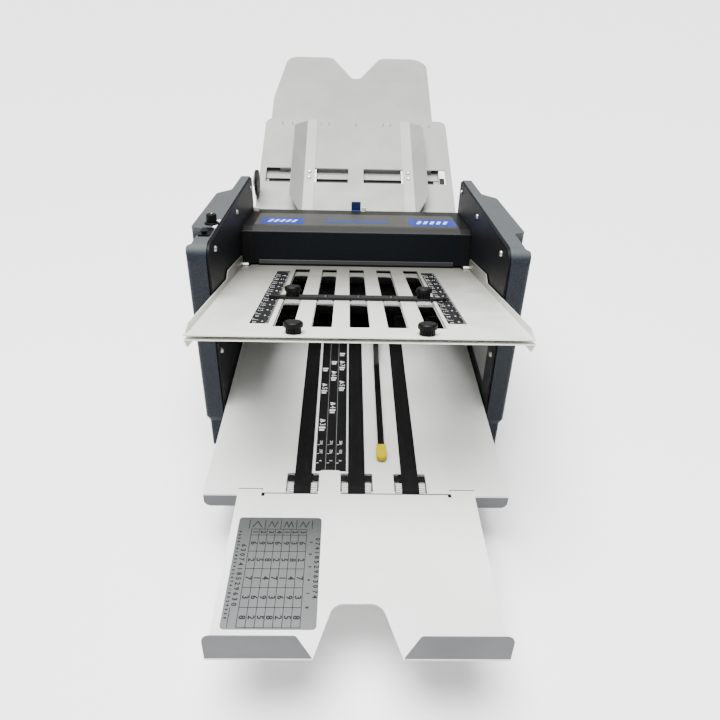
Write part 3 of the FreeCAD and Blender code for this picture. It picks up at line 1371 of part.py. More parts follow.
def conveyor_plate():
    # A plate with downturned edges, three pockets for the front wheels, three at the rear,
    # and two slots for the hooks of the stacker tray
    half = PLATE_WIDTH / 2
    low = PLATE_TOP - PLATE_FLANGE
    parts = [box(-half, half, 0, PLATE_LENGTH, PLATE_TOP - PLATE_SHEET, PLATE_TOP)]
    parts.append(extrude_y([(-half, PLATE_TOP), (-half, low, PLATE_CORNER), (half, low, PLATE_CORNER),
                            (half, PLATE_TOP)], 0, PLATE_SHEET))
    for side in (-1, 1):
        x0, x1 = sorted((side * half, side * (half - PLATE_SHEET)))
        parts.append(extrude_x([(PLATE_CORNER / 2, PLATE_TOP), (PLATE_CORNER / 2, low, PLATE_CORNER / 2),
                                (PLATE_LENGTH, low, PLATE_CORNER), (PLATE_LENGTH, PLATE_TOP)], x0, x1))
    cuts = []
    side = POCKET_WIDTH / 2
    rear_start = REAR_AXLE_Y - WHEEL_RADIUS - POCKET_MARGIN
    for x in belt_centres():
        for y0, y1 in ((-CUT, POCKET_LENGTH), (rear_start, PLATE_LENGTH + CUT)):
            cuts.append(extrude_z([(x - side, y0), (x + side, y0), (x + side, y1, POCKET_CORNER),
                                   (x - side, y1, POCKET_CORNER)], low - CUT, PLATE_TOP + CUT))
    for place in CONVEYOR_SCREWS:
        cuts.append(rod_x(SCREW_SHANK + RUN, -half - CUT, half + CUT, place[0], place[1]))
    for place in (FRONT_AXLE, REAR_AXLE):
        cuts.append(rod_x(AXLE_RADIUS + RUN, -half - CUT, half + CUT, place[0], place[1]))
    for x in tray_tab_centres():
        cuts.append(box(x - TRAY_TOOTH_WIDTH / 2 - SEAT * 2, x + TRAY_TOOTH_WIDTH / 2 + SEAT * 2,
                        TRAY_TAB_REACH - TRAY_THICK - SEAT * 2, TRAY_TAB_REACH + SEAT * 2,
                        PLATE_TOP - CUT, PLATE_TOP + CUT))
    return union(parts).cut(group(cuts))


def tray_tab_centres():
    half = TRAY_WIDTH / 2 - TRAY_TAB_WIDTH / 2
    return (-half, half)


def wheel(x, place, ribbed):
    start = x - WHEEL_WIDTH / 2
    if not ribbed:
        return rod_x(WHEEL_RADIUS, start, start + WHEEL_WIDTH, place[0], place[1])
    points = []
    pitch = 360 / WHEEL_RIBS
    for rib in range(WHEEL_RIBS):
        for radius, share in ((WHEEL_RADIUS, -0.3), (WHEEL_RADIUS, 0.3), (WHEEL_RADIUS - WHEEL_RIB, 0.5)):
            y, z = on_circle(radius, (rib + share) * pitch)
            points.append((place[0] + y, place[1] + z))
    return extrude_x(points, start, start + WHEEL_WIDTH)


def front_wheels():
    half = PLATE_WIDTH / 2
    axle = rod_x(AXLE_RADIUS, -half, half, FRONT_AXLE[0], FRONT_AXLE[1])
    return union([axle] + [wheel(x, FRONT_AXLE, True) for x in belt_centres()])


def rear_wheels():
    left_end = PULLEY_START + PULLEY_WIDTH
    right_end = INNER_WIDTH / 2 + BUSH_LENGTH
    axle = rod_x(AXLE_RADIUS, -left_end, right_end, REAR_AXLE[0], REAR_AXLE[1])
    wheels = [wheel(x, REAR_AXLE, False) for x in belt_centres()]
    return union([axle, pulley(DELIVERY_PULLEY, REAR_AXLE, -1)] + wheels)


def conveyor_belt(index):
    x = belt_centres()[index]
    radius = WHEEL_RADIUS + SEAT
    half = BELT_WIDTH / 2
    return loop_belt(FRONT_AXLE, REAR_AXLE, radius, radius, BELT_THICK, x - half, x + half)


def label_clip():
    # The white clip between the left and the middle pocket
    x = -BELT_PITCH / 2
    side = CLIP_WIDTH / 2
    return extrude_z([(x - side, 0), (x + side, 0), (x + side, CLIP_LENGTH, CLIP_CORNER),
                      (x - side, CLIP_LENGTH, CLIP_CORNER)], PLATE_TOP, PLATE_TOP + CLIP_THICK)


def hold_down_strip():
    # A springy strip with an eye round the rod, dropping to lie low over the delivery belts
    x0 = STRIP_X - STRIP_WIDTH / 2
    x1 = STRIP_X + STRIP_WIDTH / 2
    low = PLATE_TOP + STRIP_RISE
    eye = ROD_RADIUS + RUN + EYE_WALL
    bend = STRIP_WIDTH * 4
    path = [(STRIP_END, low), (STRIP_FLAT, low, bend), (ROD_AT[0], ROD_AT[1] - eye)]
    strip = extrude_x(ribbon(path, STRIP_THICK), x0, x1)
    ring = rod_x(eye, x0, x1, ROD_AT[0], ROD_AT[1])
    return union([strip, ring]).cut(rod_x(ROD_RADIUS + RUN, x0 - CUT, x1 + CUT, ROD_AT[0], ROD_AT[1]))


def strip_tip():
    # The yellow cap on the strip's end: two rounded lobes in plan
    x = STRIP_X
    side = TIP_WIDTH / 2
    start = STRIP_END - TIP_LENGTH * 0.25
    end = STRIP_END + TIP_LENGTH * 0.75
    middle = PLATE_TOP + STRIP_RISE + STRIP_THICK / 2
    low = middle - TIP_HEIGHT / 2
    high = middle + TIP_HEIGHT / 2
    plan = extrude_z([(x - side, start, side), (x + side, start, side), (x + side, end, side * 0.7),
                      (x - side, end, side * 0.7)], low, high)
    profile = extrude_x([(start, low, TIP_HEIGHT * 0.4), (end, low, TIP_HEIGHT * 0.2),
                         (end, high, TIP_HEIGHT * 0.3), (start, high, TIP_HEIGHT * 0.45)],
                        x - side - CUT, x + side + CUT)
    pocket = box(x - STRIP_WIDTH / 2, x + STRIP_WIDTH / 2, STRIP_END, end + CUT,
                 PLATE_TOP + STRIP_RISE, PLATE_TOP + STRIP_RISE + STRIP_THICK)
    return plan.common(profile).cut(pocket)


def stacker_tray():
    # A sheet hooked over the conveyor's front edge, with a wide notch and two upturned lips
    half = TRAY_WIDTH / 2
    low = PLATE_TOP + SEAT
    top = low + TRAY_THICK
    rear = -SEAT
    mouth = LIP_INNER
    floor = NOTCH_FLOOR / 2
    deep = TRAY_FRONT + NOTCH_DEPTH
    plan = [(-half, TRAY_FRONT), (-mouth, TRAY_FRONT),
            (-floor, deep, NOTCH_ROUND), (floor, deep, NOTCH_ROUND),
            (mouth, TRAY_FRONT), (half, TRAY_FRONT), (half, rear), (-half, rear)]
    parts = [extrude_z(plan, low, top)]
    for side in (-1, 1):
        inner = side * mouth
        outer = side * half
        lip = [(inner, low), (outer, low), (outer, low + LIP_HEIGHT, LIP_CORNER),
               (inner + side * LIP_SLANT, low + LIP_HEIGHT, LIP_CORNER / 2)]
        parts.append(extrude_y(lip, TRAY_FRONT, TRAY_FRONT + TRAY_THICK))
    # The skirt lies against the conveyor's front flange, between the nicks beside the tabs
    skirt = half - TRAY_TAB_WIDTH - TRAY_NICK
    parts.append(box(-skirt, skirt, rear - TRAY_THICK, rear, low - TRAY_SKIRT, low))
    for x in tray_tab_centres():
        side = TRAY_TAB_WIDTH / 2
        parts.append(box(x - side, x + side, rear, TRAY_TAB_REACH, low, top))
        tooth = TRAY_TOOTH_WIDTH / 2
        parts.append(box(x - tooth, x + tooth, TRAY_TAB_REACH - TRAY_THICK, TRAY_TAB_REACH,
                         low - TRAY_TOOTH, low))
    nicks = []
    for side in (-1, 1):
        edge = side * (half - TRAY_TAB_WIDTH)
        x0, x1 = sorted((edge, edge - side * TRAY_NICK))
        nicks.append(box(x0, x1, rear - TRAY_NICK, rear + CUT, low - CUT, top + CUT))
    return union(parts).cut(group(nicks))


def motor():
    # A round finned body on the right side plate; its neck passes through the plate
    y, z = MOTOR_AT
    inner = INNER_WIDTH / 2
    start = inner - MOTOR_LENGTH
    flange = MOTOR_FIN_DEPTH * 2
    body = revolve_x([(start, 0), (start, MOTOR_RADIUS, MOTOR_FIN_DEPTH * 2), (inner, MOTOR_RADIUS),
                      (inner, 0)], y, z)
    grooves = []
    pitch = MOTOR_LENGTH / (MOTOR_FINS + 2)
    for fin in range(MOTOR_FINS):
        x = start + (fin + 1) * pitch
        ring = rod_x(MOTOR_RADIUS + CUT, x, x + pitch / 2, y, z)
        grooves.append(ring.cut(rod_x(MOTOR_RADIUS - MOTOR_FIN_DEPTH, x, x + pitch / 2, y, z)))
    neck = rod_x(MOTOR_NECK / 2, inner, PLATE_OUTER, y, z)
    foot = box(start + flange, inner - flange, y - MOTOR_RADIUS / 2, y + MOTOR_RADIUS / 2,
               FRAME_BOTTOM + BASE_THICK, z - MOTOR_RADIUS * 0.8)
    bore = rod_x(MOTOR_SHAFT + RUN, inner - MOTOR_RADIUS, PLATE_OUTER + CUT, y, z)
    return union([body.cut(group(grooves)), neck, foot]).cut(bore)


def motor_pulley():
    # The toothed pulley with its shaft end in the motor's bore
    y, z = MOTOR_AT
    shaft = rod_x(MOTOR_SHAFT, INNER_WIDTH / 2 - MOTOR_RADIUS + SEAT, PULLEY_START, y, z)
    return shaft.fuse(pulley(MOTOR_PULLEY, MOTOR_AT, 1)).removeSplitter()


def left_belts():
    # The feed roller's belt and the conveyor's belt, side by side on the left
    return group([side_belt(ROLLER_ONE, FEED_SHAFT_AT, FEED_DRIVE_PULLEY, FEED_PULLEY, -1),
                  side_belt(ROLLER_FOUR, REAR_AXLE, DELIVERY_PULLEY, DELIVERY_PULLEY, -1)])


def drive_belt():
    return side_belt(ROLLER_TWO, MOTOR_AT, DRIVE_PULLEY, MOTOR_PULLEY, 1)


def power_inlet():
    # A mains inlet set into the rear panel, with three flat pins at the bottom of its recess
    face = FRAME_REAR - COVER_LAP
    x0 = INLET_X - INLET_WIDTH / 2
    x1 = INLET_X + INLET_WIDTH / 2
    z0 = INLET_Z - INLET_HEIGHT / 2
    z1 = INLET_Z + INLET_HEIGHT / 2
    body = box(x0, x1, face - INLET_DEPTH, face, z0, z1)
    flange = extrude_y([(x0 - INLET_FLANGE, z0 - INLET_FLANGE, INLET_FLANGE),
                        (x1 + INLET_FLANGE, z0 - INLET_FLANGE, INLET_FLANGE),
                        (x1 + INLET_FLANGE, z1 + INLET_FLANGE, INLET_FLANGE),
                        (x0 - INLET_FLANGE, z1 + INLET_FLANGE, INLET_FLANGE)], face, face + INLET_WALL)
    wall = INLET_WALL
    chamfer = INLET_FLANGE * 1.5
    recess = extrude_y([(x0 + wall, z0 + wall), (x1 - wall, z0 + wall), (x1 - wall, z1 - wall - chamfer),
                        (x1 - wall - chamfer, z1 - wall), (x0 + wall + chamfer, z1 - wall),
                        (x0 + wall, z1 - wall - chamfer)], face + wall - INLET_RECESS, face + wall + CUT)
    pins = []
    for step in (-1, 0, 1):
        x = INLET_X + step * INLET_PIN_PITCH
        z = INLET_Z + (1 - abs(step)) * INLET_PIN_WIDTH
        pins.append(box(x - INLET_PIN_WIDTH / 2, x + INLET_PIN_WIDTH / 2, face + wall - INLET_RECESS, face,
                        z - INLET_PIN_HEIGHT / 2, z + INLET_PIN_HEIGHT / 2))
    return union([body.fuse(flange).cut(recess)] + pins)


def control_board():
    # A board with its larger parts, standing on four posts in the base pan
    low = FRAME_BOTTOM + BASE_THICK
    high = low + BOARD_STAND
    x0 = BOARD_X - BOARD_WIDTH / 2
    x1 = BOARD_X + BOARD_WIDTH / 2
    y0 = BOARD_Y - BOARD_DEPTH / 2
    y1 = BOARD_Y + BOARD_DEPTH / 2
    top = high + BOARD_THICK
    parts = [box(x0, x1, y0, y1, high, top)]
    inset = BOARD_STAND_RADIUS * 1.5
    for x in (x0 + inset, x1 - inset):
        for y in (y0 + inset, y1 - inset):
            parts.append(rod_z(BOARD_STAND_RADIUS, x, y, low, high))
    # Shares of the board: x, y, width, depth, and the height as a share of the depth
    block_shares = ((0.12, 0.2, 0.26, 0.4, 0.4), (0.46, 0.2, 0.18, 0.24, 0.2), (0.46, 0.6, 0.3, 0.2, 0.12))
    for x, y, width, depth, height in block_shares:
        parts.append(box(x0 + x * BOARD_WIDTH, x0 + (x + width) * BOARD_WIDTH,
                         y0 + y * BOARD_DEPTH, y0 + (y + depth) * BOARD_DEPTH,
                         top, top + height * BOARD_DEPTH))
    for step in range(3):
        x = x0 + BOARD_WIDTH * (0.76 + step * 0.08)
        parts.append(rod_z(BOARD_STAND_RADIUS, x, y0 + BOARD_DEPTH * 0.3, top, top + BOARD_STAND * 1.5))
    return union(parts)


def control_place(shape, at):
    # From a frame on the left cover's sloping top to the machine
    place = FRAME_FRONT + at
    placed = tilted(shape, (place, top_height(place) + COVER_RISE), -TOP_ANGLE)
    return placed.translated(Vector(-CONTROL_X, 0, 0))


def switch_hole():
    wide = SWITCH_WIDTH / 2 - SWITCH_FLANGE
    deep = SWITCH_LENGTH / 2 - SWITCH_FLANGE
    return box(-wide, wide, -deep, deep, -CUT, CUT)


def speed_hole():
    return rod_z(SPEED_SHAFT + RUN, 0, 0, -CUT, CUT)


def switch_bezel():
    # The rim stands on the cover; the body below it is open in the middle for the rocker
    wide = SWITCH_WIDTH / 2
    deep = SWITCH_LENGTH / 2
    inset = SWITCH_FLANGE + SEAT
    rim = extrude_z([(-wide, -deep, SWITCH_FLANGE), (wide, -deep, SWITCH_FLANGE), (wide, deep, SWITCH_FLANGE),
                     (-wide, deep, SWITCH_FLANGE)], 0, SWITCH_FLANGE)
    body = box(-wide + inset, wide - inset, -deep + inset, deep - inset, -SWITCH_BODY_DEPTH, 0)
    wall = inset + SWITCH_WALL
    well = box(-wide + wall, wide - wall, -deep + wall, deep - wall, -SWITCH_BODY_DEPTH + SWITCH_WALL, CUT)
    pivot = rod_x(SWITCH_WALL / 2 + RUN, -wide + inset, wide - inset, 0, 0)
    return control_place(rim.fuse(body).cut(well).cut(pivot).removeSplitter(), SWITCH_AT)


def power_rocker():
    # A rocker whose two halves meet at a shallow angle, tipped to its off side at rest
    wall = SWITCH_FLANGE + SEAT + SWITCH_WALL
    wide = SWITCH_WIDTH / 2 - wall - SEAT
    deep = SWITCH_LENGTH / 2 - wall - SEAT * 2
    top = SWITCH_FLANGE
    dip = deep * math.tan(math.radians(ROCKER_TILT))
    low = -SWITCH_WALL * 2
    rocker = extrude_x([(-deep, top + dip, SWITCH_WALL / 4), (0, top), (deep, top + dip, SWITCH_WALL / 4),
                        (deep - SWITCH_WALL, low), (-deep + SWITCH_WALL, low)], -wide, wide)
    pivot = rod_x(SWITCH_WALL / 2, -wide - SWITCH_WALL, wide + SWITCH_WALL, 0, 0)
    rocker = rocker.fuse(pivot)
    rocker.rotate(Vector(0, 0, 0), Vector(1, 0, 0), -ROCKER_TILT)
    return control_place(rocker.removeSplitter(), SWITCH_AT)


def speed_knob():
    # A fluted knob with a skirt on a shaft through the cover
    base = SEAT
    ledge = base + SPEED_SKIRT_HEIGHT
    top = base + SPEED_HEIGHT
    round_off = SPEED_SKIRT_HEIGHT / 2
    shape = revolve_z([(0, base), (SPEED_SKIRT, base), (SPEED_SKIRT, ledge, round_off), (SPEED_RADIUS, ledge),
                       (SPEED_RADIUS, top, round_off), (0, top)], 0, 0)
    flutes = []
    for flute in range(SPEED_FLUTES):
        x, y = on_circle(SPEED_RADIUS, flute * 360 / SPEED_FLUTES)
        flutes.append(rod_z(SPEED_FLUTE_RADIUS, x, y, ledge, top + CUT))
    shape = shape.cut(group(flutes))
    shape = shape.fuse(rod_z(SPEED_SHAFT, 0, 0, -COVER_WALL * 2, base))
    return control_place(shape.removeSplitter(), DIAL_AT)


def pieces():
    shapes = {
        "side_plate_left": side_plate(-1),
        "side_plate_right": side_plate(1),
        "side_cover_left": side_cover(-1),
        "side_cover_right": side_cover(1),
        "base_pan": base_pan(),
        "tie_bars": tie_bars(),
        "rubber_feet": rubber_feet(),
        "frame_screws": frame_screws(),
        "roller_bearings": roller_bearings(),
        "roller_cover": roller_cover(),
        "cover_lip": cover_lip(),
        "nylon_caps": nylon_caps(),
        "feed_shaft": feed_shaft(),
        "feed_tyres": feed_tyres(),
        "retard_holder": retard_holder(),
        "release_lever": release_lever(),
        "front_table_upper": front_table_upper(),
        "front_table_lower": front_table_lower(),
        "front_stop_bar": front_tilted(stop_bar(STOP_AT)),
        "rear_table_upper": rear_table_upper(),
        "rear_table_lower": rear_table_lower(),
        "rear_stop_bar": rear_tilted(stop_bar(REAR_STOP_AT)),
        "table_pins": table_pins(),
        "feed_table": feed_table(),
        "table_brackets": table_brackets(),
        "skew_dial": skew_dial(),
        "table_extension": table_extension(),
        "conveyor_plate": conveyor_plate(),
        "conveyor_front_rollers": front_wheels(),
        "conveyor_rear_rollers": rear_wheels(),
        "label_clip": label_clip(),
        "hold_down_strip": hold_down_strip(),
        "hold_down_tip": strip_tip(),
        "stacker_tray": stacker_tray(),
        "motor": motor(),
        "motor_pulley": motor_pulley(),
        "drive_belt": drive_belt(),
        "left_belts": left_belts(),
        "power_inlet": power_inlet(),
        "control_board": control_board(),
        "switch_bezel": switch_bezel(),
        "power_rocker": power_rocker(),
        "speed_knob": speed_knob(),
    }
    for index in range(len(ROLLER_AXES)):
        shapes["fold_roller_" + str(index + 1)] = fold_roller(index)
    for index, place in enumerate(("left", "center", "right")):
        shapes["conveyor_belt_" + place] = conveyor_belt(index)
    for side, place in ((-1, "left"), (1, "right")):
        shapes["front_stop_knob_" + place] = front_stop_knob(side)
        shapes["front_table_knob_" + place] = front_table_knob(side)
        shapes["rear_stop_knob_" + place] = rear_stop_knob(side)
        shapes["guide_" + place] = side_guide(side)
        shapes["guide_screws_" + place] = guide_clamp(side)
    return shapes


os.makedirs("parts", exist_ok=True)
for name, shape in pieces().items():
    shape.translate(Vector(0, -MIDDLE_Y, 0))
    shape.exportStep("parts/" + name + ".step")
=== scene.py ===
import math
import bpy
from mathutils import Matrix, Vector


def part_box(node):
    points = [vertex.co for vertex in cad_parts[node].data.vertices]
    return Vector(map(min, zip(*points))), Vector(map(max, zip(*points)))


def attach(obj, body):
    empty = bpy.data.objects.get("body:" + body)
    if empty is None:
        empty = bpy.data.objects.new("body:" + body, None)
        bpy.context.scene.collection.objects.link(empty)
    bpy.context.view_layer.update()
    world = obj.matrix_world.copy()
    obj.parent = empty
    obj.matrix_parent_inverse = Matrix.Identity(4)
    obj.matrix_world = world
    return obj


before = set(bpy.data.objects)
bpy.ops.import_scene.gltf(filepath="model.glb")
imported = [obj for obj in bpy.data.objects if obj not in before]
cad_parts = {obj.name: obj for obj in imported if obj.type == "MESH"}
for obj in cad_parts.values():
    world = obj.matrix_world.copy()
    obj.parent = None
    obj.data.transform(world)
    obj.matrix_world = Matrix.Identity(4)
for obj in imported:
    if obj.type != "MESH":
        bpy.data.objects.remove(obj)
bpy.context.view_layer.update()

# Places are written in millimetres as on the drawing: Y from the front edge of the conveyor plate,
# Z from the floor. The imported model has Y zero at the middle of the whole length.
METRE = 1000
INCH = 25.4
MIDDLE_Y = -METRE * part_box("conveyor_plate")[0].y
PLATE_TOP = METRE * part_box("conveyor_plate")[1].z

# The middles of the three belts, and the wheels in their loops: axles, ribs and width
BELT_PITCH = 63.0
BELT_PLACES = (("left", -BELT_PITCH), ("center", 0.0), ("right", BELT_PITCH))
WHEEL_Y = 14.6
WHEEL_SPACING = 344.4
WHEEL_Z = 71.0
WHEEL_RIBS = 30
WHEEL_HALF_WIDTH = 17.2

# The delivery tray: half its width, and the tabs and nicks of its joint with the plate
TRAY_HALF = 136.0
TRAY_TAB = 27.0
TRAY_NICK = 4.0
TRAY_REACH = 7.0

# The two fold tables and the feed table: Y and Z where the top of each starts, and its slope
FRONT_TABLE = (12.03, 287.99)
FRONT_TILT = math.radians(-14.7)
REAR_TABLE = (430.35, 148.03)
REAR_TILT = math.radians(-12)
FEED_TABLE = (545.0, PLATE_TOP + 101.8)
FEED_TILT = math.radians(22.8)

# The side covers: where they start, the slope and height of their tops, the heights between which
# the colour of their sides turns into the painted lighter colour of their lit tops, and the speed
# knob's place
COVER_START = 171.0
COVER_TILT = -math.atan(38 / 386)
COVER_TOP = 315.0
COVER_EDGE = (303.0, 313.0)
SPEED_Y = 262.0

# The hood over the rollers: where its top starts, how high over the plate, and its slope
HOOD_START = 426.0
HOOD_RISE = 155.5
HOOD_TILT = -math.atan(22 / 135)
HOOD_HALF = 162

# Half the length of the rubber on a fold roller, and the top of the control board
SLEEVE_HALF = 169.5
BOARD_TOP = 23.3

# The flanges of the plate and the tray, whose coat is darkened by painted shade: they end at this
# Y, and are further than this off the plate's level
FLANGE_END = 8
FLANGE_OFF = 2.5


def place(x, y, z):
    return Vector((x, y - MIDDLE_Y, z)) / METRE


def on_sheet(start, tilt, along, below=0.0):
    # Y and Z of a point at a distance along a sloping sheet and a depth below its top
    y = start[0] + along * math.cos(tilt) + below * math.sin(tilt)
    z = start[1] + along * math.sin(tilt) - below * math.cos(tilt)
    return y, z


def cover_slope(y):
    # How far the covers' top has sunk at a Y, which is a number or a shader output
    return (y - COVER_START) * math.tan(COVER_TILT)


def hood_height(y):
    return PLATE_TOP + HOOD_RISE + (y - HOOD_START) * math.tan(HOOD_TILT)


# Shader expressions


class Socket:
    """A shader output that can be used in a Python sum."""

    def __init__(self, paint, link):
        self.paint = paint
        self.link = link

    def __add__(self, other):
        return self.paint.calculate("ADD", self, other)

    __radd__ = __add__

    def __sub__(self, other):
        return self.paint.calculate("SUBTRACT", self, other)

    def __rsub__(self, other):
        return self.paint.calculate("SUBTRACT", other, self)

    def __mul__(self, other):
        return self.paint.calculate("MULTIPLY", self, other)

    __rmul__ = __mul__

    def __gt__(self, other):
        return self.paint.calculate("GREATER_THAN", self, other)

    def __lt__(self, other):
        return self.paint.calculate("LESS_THAN", self, other)

    def __mod__(self, other):
        return self.paint.calculate("FLOORED_MODULO", self, other)

    def __abs__(self):
        return self.paint.calculate("ABSOLUTE", self)

    def ramp(self, low, high, start=0.0, end=1.0):
        # Smoothly from start to end while the value goes from low to high
        return self.paint.node("ShaderNodeMapRange", {"interpolation_type": "SMOOTHSTEP"},
                               {0: self, 1: low, 2: high, 3: start, 4: end})

    def spread(self, start, end):
        # From start to end over the range in which most values of a noise lie
        return self.ramp(0.3, 0.7, start, end)

    def from_nearest(self, pitch, first=0.0):
        # Distance from the nearest of a row of places that are one pitch apart
        return (self - first + pitch / 2) % pitch - pitch / 2


class Paint:
    """One material with a Principled shader, and the nodes that feed it."""

    def __init__(self, name, roughness=0.5, metallic=0.0, specular=0.5):
        self.material = bpy.data.materials.new(name)
        self.material.use_nodes = True
        self.tree = self.material.node_tree
        self.shader = self.tree.nodes["Principled BSDF"]
        self.set("Roughness", roughness)
        self.set("Metallic", metallic)
        self.set("Specular IOR Level", specular)
        self.position = self.node("ShaderNodeTexCoord", {}, {}, out="Object")

    def set(self, name, value):
        self._feed(self.shader.inputs[name], value)

    def _feed(self, socket, value):
        if isinstance(value, Socket):
            self.tree.links.new(value.link, socket)
        elif socket.type == "RGBA":
            socket.default_value = value + (1.0,)
        else:
            socket.default_value = value

    def node(self, kind, settings, inputs, out=0):
        # A new node's settings, the values or links of its inputs by name or number, and its output
        made = self.tree.nodes.new(kind)
        for name, value in settings.items():
            setattr(made, name, value)
        for key, value in inputs.items():
            self._feed(made.inputs[key], value)
        return Socket(self, made.outputs[out])

    def calculate(self, operation, *values):
        return self.node("ShaderNodeMath", {"operation": operation}, dict(enumerate(values)))

    def axis(self, index):
        # Object X, Y or Z in millimetres as on the drawing
        shift = (0.0, MIDDLE_Y, 0.0)[index]
        part = self.node("ShaderNodeSeparateXYZ", {}, {"Vector": self.position}, out=index)
        return part * METRE + shift

    def noise(self, scale, detail=3.0, roughness=0.55, stretch=(1.0, 1.0, 1.0)):
        stretched = self.node("ShaderNodeMapping", {}, {"Vector": self.position, "Scale": stretch})
        return self.node("ShaderNodeTexNoise", {}, {"Vector": stretched, "Scale": scale,
                                                    "Detail": detail, "Roughness": roughness})

    def mix(self, factor, first, second):
        # A mix node has sockets for each kind of data: those of colours are 6, 7 and output 2
        return self.node("ShaderNodeMix", {"data_type": "RGBA"}, {0: factor, 6: first, 7: second},
                         out=2)

    def bump(self, height, distance, strength):
        self.set("Normal", self.node("ShaderNodeBump", {}, {
            "Strength": strength, "Distance": distance, "Height": height}))

    def on(self, *names):
        # Puts the paint on nodes, by name, or on a piece made here
        for name in names:
            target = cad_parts[name] if isinstance(name, str) else name
            target.data.materials.clear()
            target.data.materials.append(self.material)


# Finishes


def grey(level):
    return (level, level, level)


# Two colours that a CAD part shares with a piece made here: each with its darker patches
LEVER_BLUE = ((0.018, 0.035, 0.13), (0.012, 0.024, 0.09))
CREAM = ((0.72, 0.7, 0.6), (0.6, 0.57, 0.47))


def powder_coat(name, bright, dull, metallic=0.0, level=None, rear_shade=None):
    # Pale powder coat: fine orange peel, faint handling marks, a little duller in patches. Painted
    # shade turns it dark on the flanges off the level given, and from the first to the second Y of
    # the rear shade
    paint = Paint(name, specular=0.35, metallic=metallic)
    cloud = paint.noise(9, detail=4)
    marks = paint.noise(60, detail=5, roughness=0.7).ramp(0.56, 0.72)
    coat = paint.mix(cloud.ramp(0.35, 0.7) * 0.7 + marks * 0.25, bright, dull)
    if level is not None:
        # Painted shade: the flanges and lips off the level turn dark grey
        flange_shade = (abs(paint.axis(2) - level) > FLANGE_OFF) * (paint.axis(1) < FLANGE_END)
        coat = paint.mix(flange_shade, coat, (0.075, 0.077, 0.084))
    if rear_shade is not None:
        # Painted shade: darker towards the rear, between the two Y given
        coat = paint.mix(paint.axis(1).ramp(*rear_shade), coat, (0.085, 0.083, 0.07))
    paint.set("Base Color", coat)
    paint.set("Roughness", paint.noise(25).spread(0.34, 0.5))
    paint.bump(paint.noise(1100, detail=2), 0.00005, 0.55)
    return paint


def moulded_cover():
    # Blue-grey moulded plastic with a fine leathery grain, paler where hands rub it; painted light
    # makes the top paler than the sides
    paint = Paint("cover_grain", specular=0.1)
    grain = paint.noise(750, detail=3, roughness=0.6)
    cloud = paint.noise(14, detail=3)
    side = paint.mix(cloud, (0.010, 0.0135, 0.0185), (0.014, 0.018, 0.024))
    # Painted light: the top gets a paler copy of the sides' colour, for the light it reflects
    top = paint.mix(cloud, (0.052, 0.058, 0.060), (0.068, 0.074, 0.075))
    lit_top_share = (paint.axis(2) - cover_slope(paint.axis(1))).ramp(*COVER_EDGE)
    rub = paint.noise(45, detail=5, roughness=0.7).ramp(0.6, 0.78)
    worn = grain.ramp(0.45, 0.75) * 0.35 + rub * 0.12
    paint.set("Base Color", paint.mix(worn, paint.mix(lit_top_share, side, top), (0.07, 0.076, 0.086)))
    paint.set("Roughness", grain.spread(0.5, 0.34))
    paint.bump(grain, 0.0002, 0.6)
    return paint


def black_enamel():
    # Black stove enamel with a slight peel
    paint = Paint("black_enamel", specular=0.1)
    speck = paint.noise(900, detail=2)
    cloud = paint.noise(18, detail=4)
    paint.set("Base Color", paint.mix(cloud, (0.004, 0.0045, 0.006), (0.008, 0.0085, 0.011)))
    paint.set("Roughness", speck.spread(0.38, 0.55))
    paint.bump(speck, 0.00006, 0.5)
    return paint


def hood_enamel():
    # Black on the front face and the sides, warm grey on top with a darker strip at front and rear
    paint = Paint("hood_enamel", specular=0.12)
    speck = paint.noise(900, detail=2)
    cloud = paint.noise(16, detail=4)
    top = paint.mix(cloud, (0.035, 0.034, 0.031), (0.05, 0.049, 0.045))
    colour = (0.002, 0.003, 0.004)
    # From front to rear, each colour takes over between two Y
    for edge, strip in (((413.2, 413.9), (0.02, 0.02, 0.019)), ((436.6, 437.4), top),
                        ((524.4, 525.2), (0.008, 0.008, 0.007))):
        colour = paint.mix(paint.axis(1).ramp(*edge), colour, strip)
    colour = paint.mix(abs(paint.axis(0)) > HOOD_HALF, colour, grey(0.004))
    paint.set("Base Color", paint.mix(speck.ramp(0.62, 0.8) * 0.15, colour, grey(0.1)))
    paint.set("Roughness", speck.spread(0.36, 0.52))
    paint.bump(speck, 0.00006, 0.5)
    return paint


def black_plastic(name, base, roughness):
    # Moulded black plastic, worn paler where fingers hold it
    paint = Paint(name, specular=0.12)
    speck = paint.noise(1300, detail=2)
    wear = paint.noise(120, detail=5, roughness=0.7).ramp(0.62, 0.8)
    paint.set("Base Color", paint.mix(wear * 0.35, (base, base, base * 1.1), grey(base * 4)))
    paint.set("Roughness", speck.spread(roughness - 0.06, roughness + 0.1))
    paint.bump(speck, 0.00005, 0.4)
    return paint


def plain_plastic(name, colour, darker, roughness=0.4, specular=0.4):
    # Moulded plastic of any colour, a little darker in patches
    paint = Paint(name, specular=specular)
    cloud = paint.noise(90, detail=4)
    paint.set("Base Color", paint.mix(cloud, colour, darker))
    paint.set("Roughness", paint.noise(300).spread(roughness - 0.06, roughness + 0.08))
    paint.bump(paint.noise(1200, detail=2), 0.00004, 0.35)
    return paint


def print_paint(name, colour, darker, roughness=0.45):
    # Ink, or the face of a sticker
    paint = Paint(name, specular=0.12)
    cloud = paint.noise(120, detail=4)
    paint.set("Base Color", paint.mix(cloud, colour, darker))
    paint.set("Roughness", paint.noise(500).spread(roughness - 0.05, roughness + 0.07))
    paint.bump(paint.noise(1500, detail=2), 0.00002, 0.3)
    return paint


